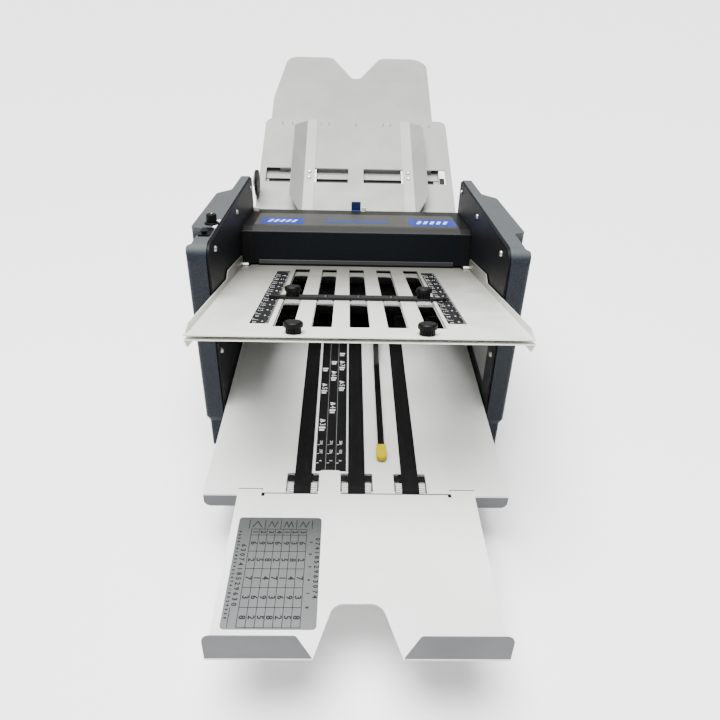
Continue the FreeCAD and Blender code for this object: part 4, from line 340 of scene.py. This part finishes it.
def bright_metal(name, colour, roughness, stretch, scale=500):
    # Drawn or turned metal: fine lines along one direction
    paint = Paint(name, metallic=1.0)
    lines = paint.noise(scale, detail=3, stretch=stretch)
    cloud = paint.noise(30, detail=4)
    dull = tuple(c * 0.72 for c in colour)
    paint.set("Base Color", paint.mix(lines.spread(0, 1) * 0.6 + cloud * 0.3, colour, dull))
    paint.set("Roughness", lines.ramp(0.25, 0.75, roughness - 0.08, roughness + 0.12))
    paint.bump(lines, 0.00003, 0.5)
    return paint


def zinc_plate():
    # Plated steel with a faint spangle
    paint = Paint("zinc_plate", metallic=1.0)
    spangle = paint.noise(140, detail=4, roughness=0.7)
    shade = spangle.ramp(0.35, 0.7)
    paint.set("Base Color", paint.mix(shade, (0.62, 0.62, 0.58), (0.42, 0.42, 0.4)))
    paint.set("Roughness", spangle.spread(0.28, 0.46))
    paint.bump(paint.noise(900, detail=2), 0.00004, 0.4)
    return paint


def fold_roller_skin():
    # A ground dark rubber sleeve between bright steel journals, pulleys and gears
    paint = Paint("roller_sleeve", specular=0.12)
    sleeve = abs(paint.axis(0)) < SLEEVE_HALF
    turned = paint.noise(260, detail=3, stretch=(8.0, 0.6, 0.6))
    rubber = paint.mix(turned, (0.008, 0.008, 0.009), (0.018, 0.018, 0.02))
    steel = paint.mix(turned, (0.62, 0.62, 0.6), (0.42, 0.42, 0.41))
    paint.set("Base Color", paint.mix(sleeve, steel, rubber))
    paint.set("Metallic", 1 - sleeve)
    paint.set("Roughness", sleeve * 0.25 + turned.spread(0.26, 0.42))
    paint.bump(turned, 0.00004, 0.5)
    return paint


def conveyor_wheels():
    # White moulded wheels with fine ribs, on bright axles, with painted shade in the grooves
    # between the ribs
    paint = Paint("conveyor_wheels", specular=0.5)
    on_wheel = abs(paint.axis(0).from_nearest(BELT_PITCH)) < WHEEL_HALF_WIDTH
    moulded = on_wheel * (abs(paint.axis(0)) < 1.5 * BELT_PITCH)
    cloud = paint.noise(200, detail=4)
    angle = paint.calculate("ARCTAN2", paint.axis(2) - WHEEL_Z,
                            paint.axis(1).from_nearest(WHEEL_SPACING, WHEEL_Y))
    rib_groove_shade = paint.calculate("COSINE", angle * WHEEL_RIBS)
    white = paint.mix(cloud, (0.72, 0.72, 0.7), (0.62, 0.62, 0.6))
    # Painted shade: dark lines in the grooves between the ribs
    white = paint.mix(rib_groove_shade.ramp(-0.9, -0.3), grey(0.12), white)
    steel = paint.mix(cloud, (0.6, 0.6, 0.58), (0.42, 0.42, 0.4))
    paint.set("Base Color", paint.mix(moulded, steel, white))
    paint.set("Metallic", 1 - moulded)
    paint.set("Roughness", moulded * 0.12 + paint.noise(400).spread(0.26, 0.4))
    paint.bump(paint.noise(900, detail=2), 0.00005, 0.4)
    return paint


def belt_weave():
    # Black flat belting: a fine woven face with dust along it
    paint = Paint("belt_weave", specular=0.06, roughness=0.7)
    fineness = 5.2
    across = paint.calculate("SINE", paint.axis(0) * fineness)
    along = paint.calculate("SINE", (paint.axis(1) + paint.axis(2)) * fineness)
    weave = across * along
    dust = paint.noise(30, detail=5, stretch=(6.0, 1.0, 1.0)).ramp(0.5, 0.8)
    paler = weave.ramp(-1, 1) * 0.3 + dust * 0.2
    paint.set("Base Color", paint.mix(paler, (0.003, 0.003, 0.0035), grey(0.02)))
    paint.set("Roughness", weave.ramp(-1, 1, 0.74, 0.58))
    paint.bump(weave, 0.0001, 0.5)
    return paint


def rubber(name, base):
    # Dull gritty rubber
    paint = Paint(name, specular=0.3)
    grit = paint.noise(1400, detail=3, roughness=0.65)
    cloud = paint.noise(60, detail=4)
    paint.set("Base Color", paint.mix(cloud, grey(base), grey(base * 2.2)))
    paint.set("Roughness", grit.spread(0.62, 0.85))
    paint.bump(grit, 0.0001, 0.6)
    return paint


def stop_bar_finish(name, table, tilt):
    # Black enamel on the bar over a fold table's sheets, bright steel on the strip between them
    paint = Paint(name, specular=0.25)
    speck = paint.noise(900, detail=2)
    height = paint.axis(2) - (paint.axis(1) - table[0]) * math.tan(tilt) - table[1]
    strip = height < 0
    bar = paint.mix(speck, (0.003, 0.003, 0.0035), (0.008, 0.008, 0.009))
    paint.set("Base Color", paint.mix(strip, bar, (0.66, 0.66, 0.64)))
    paint.set("Metallic", strip)
    paint.set("Roughness", speck.spread(0.34, 0.48))
    paint.bump(speck, 0.00005, 0.4)
    return paint


def cast_metal():
    # Rough grey castings
    paint = Paint("cast_metal", metallic=1.0)
    grit = paint.noise(420, detail=5, roughness=0.7)
    paint.set("Base Color", paint.mix(grit, (0.34, 0.35, 0.36), (0.2, 0.21, 0.22)))
    paint.set("Roughness", grit.spread(0.42, 0.62))
    paint.bump(grit, 0.0002, 0.7)
    return paint


def circuit_board():
    # Green lacquer with paler tracks; the parts on the board are dark
    paint = Paint("circuit_board", specular=0.5, roughness=0.35)
    pitch = INCH / 5
    tracks = ((paint.axis(0) % pitch) < 1.1) * ((paint.axis(1) % (3 * pitch)) < 11)
    lacquer = paint.mix(tracks, (0.012, 0.1, 0.045), (0.05, 0.24, 0.1))
    raised = paint.axis(2) > BOARD_TOP
    paint.set("Base Color", paint.mix(raised, lacquer, (0.03, 0.03, 0.033)))
    paint.bump(tracks, 0.00005, 0.6)
    return paint


def dress_nodes():
    # Painted shade darkens the flanges and lips off the plate's level
    white = powder_coat("white_powder", (0.75, 0.75, 0.735), (0.66, 0.655, 0.64), level=PLATE_TOP)
    white.on("table_brackets", "stacker_tray", "conveyor_plate")
    # Painted shade: the fold tables darken towards the rear, from Y 10 to 430
    silver = powder_coat("silver_powder", (0.74, 0.74, 0.68), (0.64, 0.64, 0.58), metallic=0.2,
                         rear_shade=(10, 430))
    silver.on("front_table_upper", "front_table_lower", "rear_table_upper", "rear_table_lower")
    # Painted shade: the feed table, its extension and the guides get darker copies of the pale
    # powder coat, for their shade and the dark surroundings they reflect
    pale = powder_coat("shaded_pale_powder", (0.275, 0.28, 0.265), (0.225, 0.225, 0.21), metallic=0.15)
    pale.on("feed_table", "table_extension")
    guide = powder_coat("shaded_guide_powder", (0.34, 0.345, 0.325), (0.28, 0.28, 0.265), metallic=0.2)
    guide.on("guide_left", "guide_right")
    moulded_cover().on("side_cover_left", "side_cover_right")
    black_enamel().on("side_plate_left", "side_plate_right", "base_pan")
    hood_enamel().on("roller_cover")
    fold_roller_skin().on("fold_roller_1", "fold_roller_2", "fold_roller_3", "fold_roller_4")
    turned = bright_metal("turned_steel", (0.66, 0.66, 0.64), roughness=0.3,
                          stretch=(1.0, 8.0, 8.0))
    turned.on("feed_shaft", "motor_pulley", "tie_bars")
    zinc_plate().on("frame_screws", "retard_holder", "table_pins", "guide_screws_left",
                    "guide_screws_right")
    stop_bar_finish("front_stop_finish", FRONT_TABLE, FRONT_TILT).on("front_stop_bar")
    stop_bar_finish("rear_stop_finish", REAR_TABLE, REAR_TILT).on("rear_stop_bar")
    belt_weave().on("conveyor_belt_left", "conveyor_belt_center", "conveyor_belt_right",
                    "drive_belt", "left_belts")
    conveyor_wheels().on("conveyor_front_rollers", "conveyor_rear_rollers")
    knobs = black_plastic("black_plastic", base=0.0025, roughness=0.42)
    knobs.on("front_stop_knob_left", "front_stop_knob_right", "front_table_knob_left",
             "front_table_knob_right", "rear_stop_knob_left", "rear_stop_knob_right", "skew_dial",
             "speed_knob", "power_inlet")
    black_plastic("gloss_black", base=0.003, roughness=0.28).on("switch_bezel", "power_rocker")
    black_plastic("lip_grey", base=0.012, roughness=0.35).on("cover_lip")
    black_plastic("strip_black", base=0.003, roughness=0.3).on("hold_down_strip")
    rubber("tyre_rubber", base=0.022).on("feed_tyres")
    rubber("foot_rubber", base=0.012).on("rubber_feet")
    plain_plastic("blue_lever", *LEVER_BLUE).on("release_lever")
    plain_plastic("cream_nylon", *CREAM).on("nylon_caps")
    nylon = plain_plastic("white_nylon", (0.82, 0.82, 0.8), (0.7, 0.7, 0.68))
    nylon.on("label_clip", "roller_bearings")
    yellow = plain_plastic("yellow_cap", (0.52, 0.42, 0.0), (0.46, 0.36, 0.0), roughness=0.35,
                           specular=0.03)
    yellow.on("hold_down_tip")
    cast_metal().on("motor")
    circuit_board().on("control_board")


# Pieces made here: drawn flat at the origin, then put on their place

# Thickness of a sticker, how far over the sheet under it its print starts, and thickness of ink
STICKER_THICK = 0.15
PRINT_UP = 0.16
INK_THICK = 0.06
DOWN_THE_PAGE = -math.pi / 2


def settle(piece, spot, body, tilt=0.0, axis="X"):
    # Moves the mesh and leaves its object at the origin, then ties the piece to one of the bodies
    turn = Matrix.Rotation(tilt, 4, axis)
    piece.data.transform(Matrix.Translation(place(*spot)) @ turn)
    piece.data.update()
    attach(piece, body)


def thicken(piece, thick, paint):
    # Draws the flat faces of the piece in edit mode up to its thickness, and ends the editing
    bpy.ops.mesh.select_all(action="SELECT")
    bpy.ops.mesh.extrude_region_move(TRANSFORM_OT_translate={"value": (0, 0, thick / METRE)})
    bpy.ops.mesh.select_all(action="SELECT")
    bpy.ops.mesh.normals_make_consistent(inside=False)
    bpy.ops.object.mode_set(mode="OBJECT")
    paint.on(piece)


def thin_plate(name, wide, deep, thick, corner, paint):
    # A plate or a sticker with rounded corners
    bpy.ops.object.select_all(action="DESELECT")
    bpy.ops.mesh.primitive_plane_add(size=1)
    plate = bpy.context.object
    plate.name = name
    plate.scale = (wide / METRE, deep / METRE, 1)
    bpy.ops.object.transform_apply(location=False, rotation=False, scale=True)
    bpy.ops.object.mode_set(mode="EDIT")
    bpy.ops.mesh.select_all(action="SELECT")
    bpy.ops.mesh.bevel(offset=corner / METRE, segments=5, affect="VERTICES")
    thicken(plate, thick, paint)
    return plate


def bars(name, places, thick, paint):
    # Printed lines and blocks as one mesh: each is (x, y, width, depth), with or without a turn
    bpy.ops.object.select_all(action="DESELECT")
    bpy.ops.mesh.primitive_plane_add(size=1)
    whole = bpy.context.object
    whole.name = name
    bpy.ops.object.mode_set(mode="EDIT")
    bpy.ops.mesh.select_all(action="SELECT")
    bpy.ops.mesh.delete(type="VERT")
    for x, y, wide, deep, *turn in places:
        bpy.ops.mesh.select_all(action="DESELECT")
        bpy.ops.mesh.primitive_plane_add(size=1)
        bpy.ops.transform.resize(value=(wide / METRE, deep / METRE, 1))
        for angle in turn:
            bpy.ops.transform.rotate(value=-angle, orient_axis="Z", center_override=(0, 0, 0))
        bpy.ops.transform.translate(value=(x / METRE, y / METRE, 0))
    thicken(whole, thick, paint)
    return whole


def strokes(name, lines, width, thick, paint):
    # Printed slanted strokes as one mesh: each line is a list of (x, y) corners, joined by bars
    places = []
    for line in lines:
        for start, end in zip(line, line[1:]):
            (x0, y0), (x1, y1) = start, end
            turn = math.atan2(y1 - y0, x1 - x0)
            places.append(((x0 + x1) / 2, (y0 + y1) / 2, math.dist(start, end), width, turn))
    return bars(name, places, thick, paint)


def numerals(name, words, paint, thick=INK_THICK, bold=0.0):
    # Figures as one mesh: each word is (text, height, x, y, turn) on the plane of a plate
    made = []
    for text, height, x, y, turn in words:
        bpy.ops.object.select_all(action="DESELECT")
        bpy.ops.object.text_add()
        word = bpy.context.object
        word.data.body = text
        word.data.align_x = "CENTER"
        word.data.align_y = "CENTER"
        # A figure is about 0.7 of its font size high
        word.data.size = height * 1.4 / METRE
        word.data.extrude = thick / 2 / METRE
        word.data.resolution_u = 2
        word.data.offset = bold / METRE
        bpy.ops.object.convert(target="MESH")
        spot = Matrix.Translation((x / METRE, y / METRE, thick / 2 / METRE))
        word.data.transform(spot @ Matrix.Rotation(turn, 4, "Z"))
        made.append(word)
    bpy.ops.object.select_all(action="DESELECT")
    for word in made:
        word.select_set(True)
    bpy.context.view_layer.objects.active = made[0]
    bpy.ops.object.join()
    whole = bpy.context.object
    whole.name = name
    paint.on(whole)
    return whole


def table_scales(ink, black):
    # A printed rule beside the outer slots of the front table: two rows of figures, rows of ticks
    for side, x, start, end in (("left", -107.6, 47.7, 345.5), ("right", 106.0, 57.0, 348.0)):
        half = (end - start) / 2
        y, z = on_sheet(FRONT_TABLE, FRONT_TILT, (start + end) / 2)
        strip = thin_plate("scale_strip_" + side, 20.5, 2 * half, STICKER_THICK, 0.6, black)
        settle(strip, (x, y, z), "front_table", FRONT_TILT)
        ticks = []
        words = []
        for step in range(int(2 * half / (INCH / 5))):
            tick = 4 - half + step * INCH / 5
            if step % 5 == 0:
                ticks.append((8.1, tick, 3.6, 0.5))
            else:
                ticks.append((9.0, tick, 1.8, 0.5))
        for step in range(int(2 * half / INCH)):
            row = 6 - half + step * INCH
            words.append((str(2 + step), 4.0, 2.6, row + 2.4, 0))
            words.append((str(60 + step * 25), 3.2, -5.4, row - 1, 0))
            ticks.append((-5.6, row + 9, 6.0, 0.6))
            ticks.append((-8.6, row + 14, 2.4, 0.6))
        for piece in (bars("scale_ticks_" + side, ticks, INK_THICK, ink),
                      numerals("scale_figures_" + side, words, ink)):
            settle(piece, (x, y, z + PRINT_UP), "front_table", FRONT_TILT)


def conveyor_label(ink, black, grey_face):
    # The black setting label between the left and the middle belt: three ruled columns with figures
    # at the front and groups of marks, further back in each column to the right
    x0, x1, y0, y1 = -49.5, -10.8, 39.2, 336.0
    middle_x, middle_y = (x0 + x1) / 2, (y0 + y1) / 2
    columns = ((-44.0, (127, 209, 265), ("210", "297", "4")),
               (-31.4, (164.5, 241, 283.5), ("216", "356", "5")),
               (-19.6, (216, 268.5, 307), ("280", "432", "6")))
    label = thin_plate("setting_label", x1 - x0, y1 - y0, STICKER_THICK, 0.8, black)
    settle(label, (middle_x, middle_y, PLATE_TOP), "frame")
    rules = [(x - middle_x, 0, 0.5, y1 - y0 - 2) for x in (-37.4, -25.1)]
    settle(bars("setting_rules", rules, 0.05, grey_face),
           (middle_x, middle_y, PLATE_TOP + STICKER_THICK), "frame")
    blocks = [(-11.7 - middle_x, 0, 1.2, y1 - y0 - 2)]
    wedges = []
    words = []
    for column, (column_x, groups, figures) in enumerate(columns):
        x = column_x - middle_x
        for row, group_y in enumerate(groups):
            y = group_y - middle_y
            if row < 2:
                wedges.append([(x - 3.2, y + 12), (x + 3.2, y + 9.6), (x - 2.6, y + 7.2)])
                words.append((str(3 + column + 2 * row), 7.4, x, y + 1.6, DOWN_THE_PAGE))
            blocks.append((x, y - 4.8, 7.8, 3.4))
            blocks.append((x - 0.4, y - 9.8, 6.2, 3.2))
        for step, figure in enumerate(figures):
            y = 92 - 17 * step - middle_y
            words.append((figure, 3.6, x, y, DOWN_THE_PAGE))
            words.append((str(column + 2 * step), 3.0, x - 3.4, y - 4, DOWN_THE_PAGE))
    for piece in (bars("setting_marks", blocks, INK_THICK, ink),
                  strokes("setting_wedges", wedges, 2.4, INK_THICK, ink),
                  numerals("setting_figures", words, ink)):
        settle(piece, (middle_x, middle_y, PLATE_TOP + PRINT_UP), "frame")


def fold_chart(metal, ink):
    # The plate on the tray: a ruled grid of figures under a row of folded-sheet signs, with lines
    # of figures along both sides
    middle_x, middle_y, low, thick = -83.2, -106.6, PLATE_TOP + 1.5, 0.5
    plate = thin_plate("chart_plate", 89.6, 138.2, thick, 4.0, metal)
    settle(plate, (middle_x, middle_y, low), "stacker_tray")
    left, right = -112.9 - middle_x, -53.7 - middle_x
    rows = [y - middle_y for y in (-54.3, -62.6, -84.5, -106.8, -129.5, -152.2, -174.0)]
    columns = 7
    pitch = (right - left) / columns
    lines = []
    for column in range(-1, columns + 1):
        high = rows[0] if column >= 0 else rows[-2]
        lines.append((left + column * pitch, (high + rows[-1]) / 2, 0.7, high - rows[-1]))
    for y in rows:
        lines.append(((left + right) / 2, y, right - left, 0.7))
    sign_y = -47.5 - middle_y
    sign_start = left - 3
    for divider in range(5):
        lines.append((sign_start + divider * 2 * pitch, sign_y, 0.8, 12.5))
    words = []
    for column in range(columns):
        x = left + (column + 0.5) * pitch
        words.append((str(column % 4 + 1), 5.6, x, (rows[0] + rows[1]) / 2, DOWN_THE_PAGE))
        for row, (upper, lower) in enumerate(zip(rows[1:], rows[2:]), start=1):
            digit = str((column * 3 + row * 5) % 9 + 1)
            words.append((digit, 6.4, x, (upper + lower) / 2, DOWN_THE_PAGE))
    side_lines = ((-41.6, -68, -151, 5.0, 6.0), (-48.5, -72, -168, 3.0, 16.0),
                  (-118.4, -77, -156, 5.0, 6.0), (-124.6, -58, -170, 2.6, 4.6))
    for line, (x, start, end, height, step) in enumerate(side_lines):
        for index in range(int((start - end) / step)):
            digit = str((index * 7 + line * 3) % 10)
            y = start - index * step - middle_y
            words.append((digit, height, x - middle_x, y, DOWN_THE_PAGE))
    # Each sign is a sheet seen on edge, folded to and fro
    signs = []
    for sign, bends in enumerate((2, 3, 4, 3)):
        x = sign_start + (sign * 2 + 1) * pitch
        signs.append([(x - 5 + 10 * bend / bends, sign_y + (4.2 if bend % 2 else -4.2))
                      for bend in range(bends + 1)])
    for piece in (bars("chart_grid", lines, 0.08, ink),
                  numerals("chart_figures", words, ink, 0.08, 0.24),
                  strokes("chart_signs", signs, 1.0, 0.1, ink)):
        settle(piece, (middle_x, middle_y, low + thick), "stacker_tray")


def hood_stickers(blue, pale, faint):
    # Two bare blue stickers with a paler slanted band, and a faint blue strip between them
    for side, x, y, wide, deep in (("left", -119.0, 466.5, 68.0, 44.0),
                                   ("right", 123.0, 469.5, 76.0, 50.0)):
        z = hood_height(y)
        sticker = thin_plate("hood_sticker_" + side, wide, deep, STICKER_THICK, 1.5, blue)
        settle(sticker, (x, y, z), "frame", HOOD_TILT)
        stripes = [[(wide * (share - 0.04), -deep * 0.22), (wide * (share + 0.04), deep * 0.22)]
                   for share in (-0.28, -0.14, 0.0, 0.14, 0.28)]
        band = strokes("hood_band_" + side, stripes, wide * 0.075, 0.08, pale)
        settle(band, (x, y, z + PRINT_UP), "frame", HOOD_TILT)
    y = 468.5
    strip = thin_plate("hood_line", 104.0, 22.0, 0.1, 1.0, faint)
    settle(strip, (-1.0, y, hood_height(y)), "frame", HOOD_TILT)


def hood_rear(blue, cream):
    # The lever's blue tab and a small cream cap at the rear edge of the hood
    tab = thin_plate("lever_tab", 14.6, 9.0, 0.6, 1.0, blue)
    cap = thin_plate("hood_cap", 8.0, 8.0, 6.5, 3.9, cream)
    for piece, x, y, slot in ((tab, 0, 555.5, "blue_plastic"), (cap, 13.5, 555.0, "white_plastic")):
        settle(piece, (x, y, hood_height(y)), "frame", HOOD_TILT)


def side_stickers(grey_face, pale, ink):
    # A label inside the right side plate, and the scale beside the speed knob
    label = thin_plate("side_label", 62.0, 100.0, STICKER_THICK, 2.0, grey_face)
    settle(label, (178.0, 257.0, PLATE_TOP + 49), "frame", -math.pi / 2, "Y")
    x, z = -184.0, COVER_TOP + cover_slope(SPEED_Y)
    scale = thin_plate("speed_scale", 4.4, 40.0, STICKER_THICK, 0.8, pale)
    settle(scale, (x, SPEED_Y, z), "frame", COVER_TILT)
    words = [(str(step), 2.6, 0.4, -16 + step * 8, math.pi / 2) for step in range(5)]
    settle(numerals("speed_figures", words, ink), (x, SPEED_Y, z + PRINT_UP), "frame",
           COVER_TILT)


def knob_pointer(pale):
    # The line on the speed knob, on its top and off its middle; its pale ink is partly a painted
    # highlight along the knob's top
    line = thin_plate("speed_pointer", 0.8, 4.4, 0.12, 0.2, pale)
    line.data.transform(Matrix.Translation((0, 3.4 / METRE, 12.82 / METRE)))
    settle(line, (-190.0, SPEED_Y, COVER_TOP + cover_slope(SPEED_Y)), "speed_knob",
           COVER_TILT)


def feed_marks(ink):
    # Stamped size marks near the rear edge of the feed table
    lines = []
    for half in (0.0, 55.0, 70.0, 128.0, 148.0):
        for side in (-1, 1):
            lines.append((side * half, 0, 0.9, 9.0))
            lines.append((side * (half - 2.2) if half else 0, -4.2, 5.2, 0.9))
    spot = (0, *on_sheet(FEED_TABLE, FEED_TILT, 300.0))
    settle(bars("feed_marks", lines, 0.05, ink), spot, "frame", FEED_TILT)


def slot_edges(light, black):
    # Under the slots of the feed table: the folded rear edges, and below the front of each slot a
    # black strip as painted shade
    for name, along, below, wide, deep, thick, paint, slot in (
            ("slot_fold", 164.2, 8.4, 129.0, 0.8, 7.6, light, "white_plastic"),
            ("slot_shade_strip", 145.0, 12.6, 154.4, 22.0, 0.8, black, "dark_plastic")):
        places = [(side * (14.6 + wide / 2), 0, wide, deep) for side in (-1, 1)]
        spot = (0, *on_sheet(FEED_TABLE, FEED_TILT, along, below))
        settle(bars(name, places, thick, paint), spot, "frame", FEED_TILT)


def pocket_liners(black):
    # Painted shade: a dark strip under the plate behind the wheel in each pocket of the conveyor
    for side, x in BELT_PLACES:
        shade_plate = thin_plate("pocket_shade_plate_" + side, 37.4, 9.0, 0.8, 0.5, black)
        settle(shade_plate, (x, 31.0, PLATE_TOP - 4.2), "frame")


def tray_seam(black):
    # Painted shade along the joint of the tray and the conveyor plate, round the tabs, and dark
    # plugs as painted shade in the nicks beside them
    seam_shade = [(0, 1.4, 2 * (TRAY_HALF - TRAY_TAB), 2.6)]
    for side in (-1, 1):
        seam_shade.append((side * (TRAY_HALF - TRAY_TAB / 2), TRAY_REACH + 1.4, TRAY_TAB + 1.4, 2.6))
    settle(bars("seam_shade_strips", seam_shade, 0.05, black), (0, 0, PLATE_TOP), "frame")
    nick_x = TRAY_HALF - TRAY_TAB - TRAY_NICK / 2
    for side, x in (("left", -nick_x), ("right", nick_x)):
        plug = thin_plate("nick_shadow_" + side, TRAY_NICK - 0.1, TRAY_NICK - 0.3, 0.9, 0.2, black)
        settle(plug, (x, -2.3, PLATE_TOP), "stacker_tray")


def dress_pieces():
    ink = print_paint("pale_ink", (0.8, 0.8, 0.78), (0.66, 0.66, 0.64))
    black = print_paint("black_print", (0.003, 0.0032, 0.0035), (0.008, 0.0082, 0.009),
                        roughness=0.4)
    grey_face = print_paint("grey_print", grey(0.3), grey(0.22))
    dark = print_paint("dark_ink", grey(0.004), grey(0.012))
    gloss = 0.34
    blue = print_paint("blue_print", (0.001, 0.016, 0.22), (0.001, 0.013, 0.18), gloss)
    pale_blue = print_paint("pale_blue_print", (0.4, 0.52, 0.85), (0.3, 0.42, 0.76), gloss)
    faint_blue = print_paint("faint_blue_print", (0.012, 0.03, 0.12), (0.01, 0.025, 0.1), gloss)
    edge_grey = print_paint("edge_grey", (0.2, 0.2, 0.19), (0.16, 0.16, 0.15))
    lever_blue = print_paint("lever_blue", *LEVER_BLUE)
    cream = print_paint("cream_cap", *CREAM)
    chart = bright_metal("chart_metal", (0.125, 0.13, 0.132), roughness=0.4,
                         stretch=(1.0, 30.0, 1.0), scale=160)
    table_scales(ink, black)
    conveyor_label(ink, black, grey_face)
    fold_chart(chart, dark)
    hood_stickers(blue, pale_blue, faint_blue)
    side_stickers(grey_face, ink, dark)
    feed_marks(dark)
    pocket_liners(black)
    tray_seam(black)
    slot_edges(edge_grey, black)
    hood_rear(lever_blue, cream)
    knob_pointer(ink)


# Camera, light and floor

# The camera as fitted to the photo: place from the conveyor plate's top, angles in degrees and
# focal length in the photo's pixels. The floor is in metres.
CAMERA_AT = (-14.9, -549.1, 541.7)
CAMERA_SPIN = 1.513
CAMERA_PITCH = 32.988
CAMERA_ROLL = 1.607
CAMERA_FOCUS = 657.4
PHOTO_WIDTH = 720
SENSOR_WIDTH = 36.0
FLOOR_SIZE = 40


def look():
    spin = math.radians(CAMERA_SPIN)
    pitch = math.radians(CAMERA_PITCH)
    roll = math.radians(CAMERA_ROLL)
    level = math.cos(pitch)
    ahead = Vector((math.sin(spin) * level, math.cos(spin) * level, -math.sin(pitch)))
    across = Vector((math.cos(spin), -math.sin(spin), 0))
    up = across.cross(ahead)
    right = across * math.cos(roll) + up * math.sin(roll)
    over = up * math.cos(roll) - across * math.sin(roll)
    camera = bpy.data.objects.new("camera", bpy.data.cameras.new("camera"))
    camera.data.sensor_width = SENSOR_WIDTH
    camera.data.lens = CAMERA_FOCUS / PHOTO_WIDTH * SENSOR_WIDTH
    camera.data.clip_end = 20.0
    axes = Matrix((right, over, -ahead)).transposed().to_4x4()
    x, y, z = CAMERA_AT
    camera.matrix_world = Matrix.Translation(place(x, y, z + PLATE_TOP)) @ axes
    bpy.context.collection.objects.link(camera)
    bpy.context.scene.camera = camera


def softbox(name, position, target, wide, deep, power):
    light = bpy.data.lights.new(name, "AREA")
    light.shape = "RECTANGLE"
    light.size = wide
    light.size_y = deep
    light.energy = power
    lamp = bpy.data.objects.new(name, light)
    turn = (Vector(target) - Vector(position)).to_track_quat("-Z", "Y").to_matrix().to_4x4()
    lamp.matrix_world = Matrix.Translation(position) @ turn
    bpy.context.collection.objects.link(lamp)


def skylight(name, behind, aside, spread, strength):
    # A wide, even light from above, tipped towards the back by one angle and sideways by the other
    light = bpy.data.lights.new(name, "SUN")
    light.angle = math.radians(spread)
    light.energy = strength
    lamp = bpy.data.objects.new(name, light)
    tip_back = Matrix.Rotation(-math.radians(behind), 4, "X")
    lamp.matrix_world = tip_back @ Matrix.Rotation(math.radians(aside), 4, "Y")
    bpy.context.collection.objects.link(lamp)


def sky():
    world = bpy.data.worlds.new("studio")
    world.use_nodes = True
    background = world.node_tree.nodes["Background"]
    background.inputs["Color"].default_value = (0.96, 0.98, 1.0, 1.0)
    background.inputs["Strength"].default_value = 0.45
    bpy.context.scene.world = world


def studio():
    sky()
    skylight("skylight", behind=3, aside=-6, spread=50, strength=9.5)
    softbox("overhead", (-0.25, -0.55, 1.5), (0, -0.4, 0), wide=0.9, deep=0.7, power=14)
    bpy.ops.object.select_all(action="DESELECT")
    bpy.ops.mesh.primitive_plane_add(size=FLOOR_SIZE)
    floor = bpy.context.object
    floor.name = "floor"
    ground = Paint("pale_floor", roughness=0.6, specular=0.2)
    ground.set("Base Color", ground.mix(ground.noise(2), grey(0.97), grey(0.955)))
    ground.on(floor)


look()
studio()
dress_nodes()
dress_pieces()
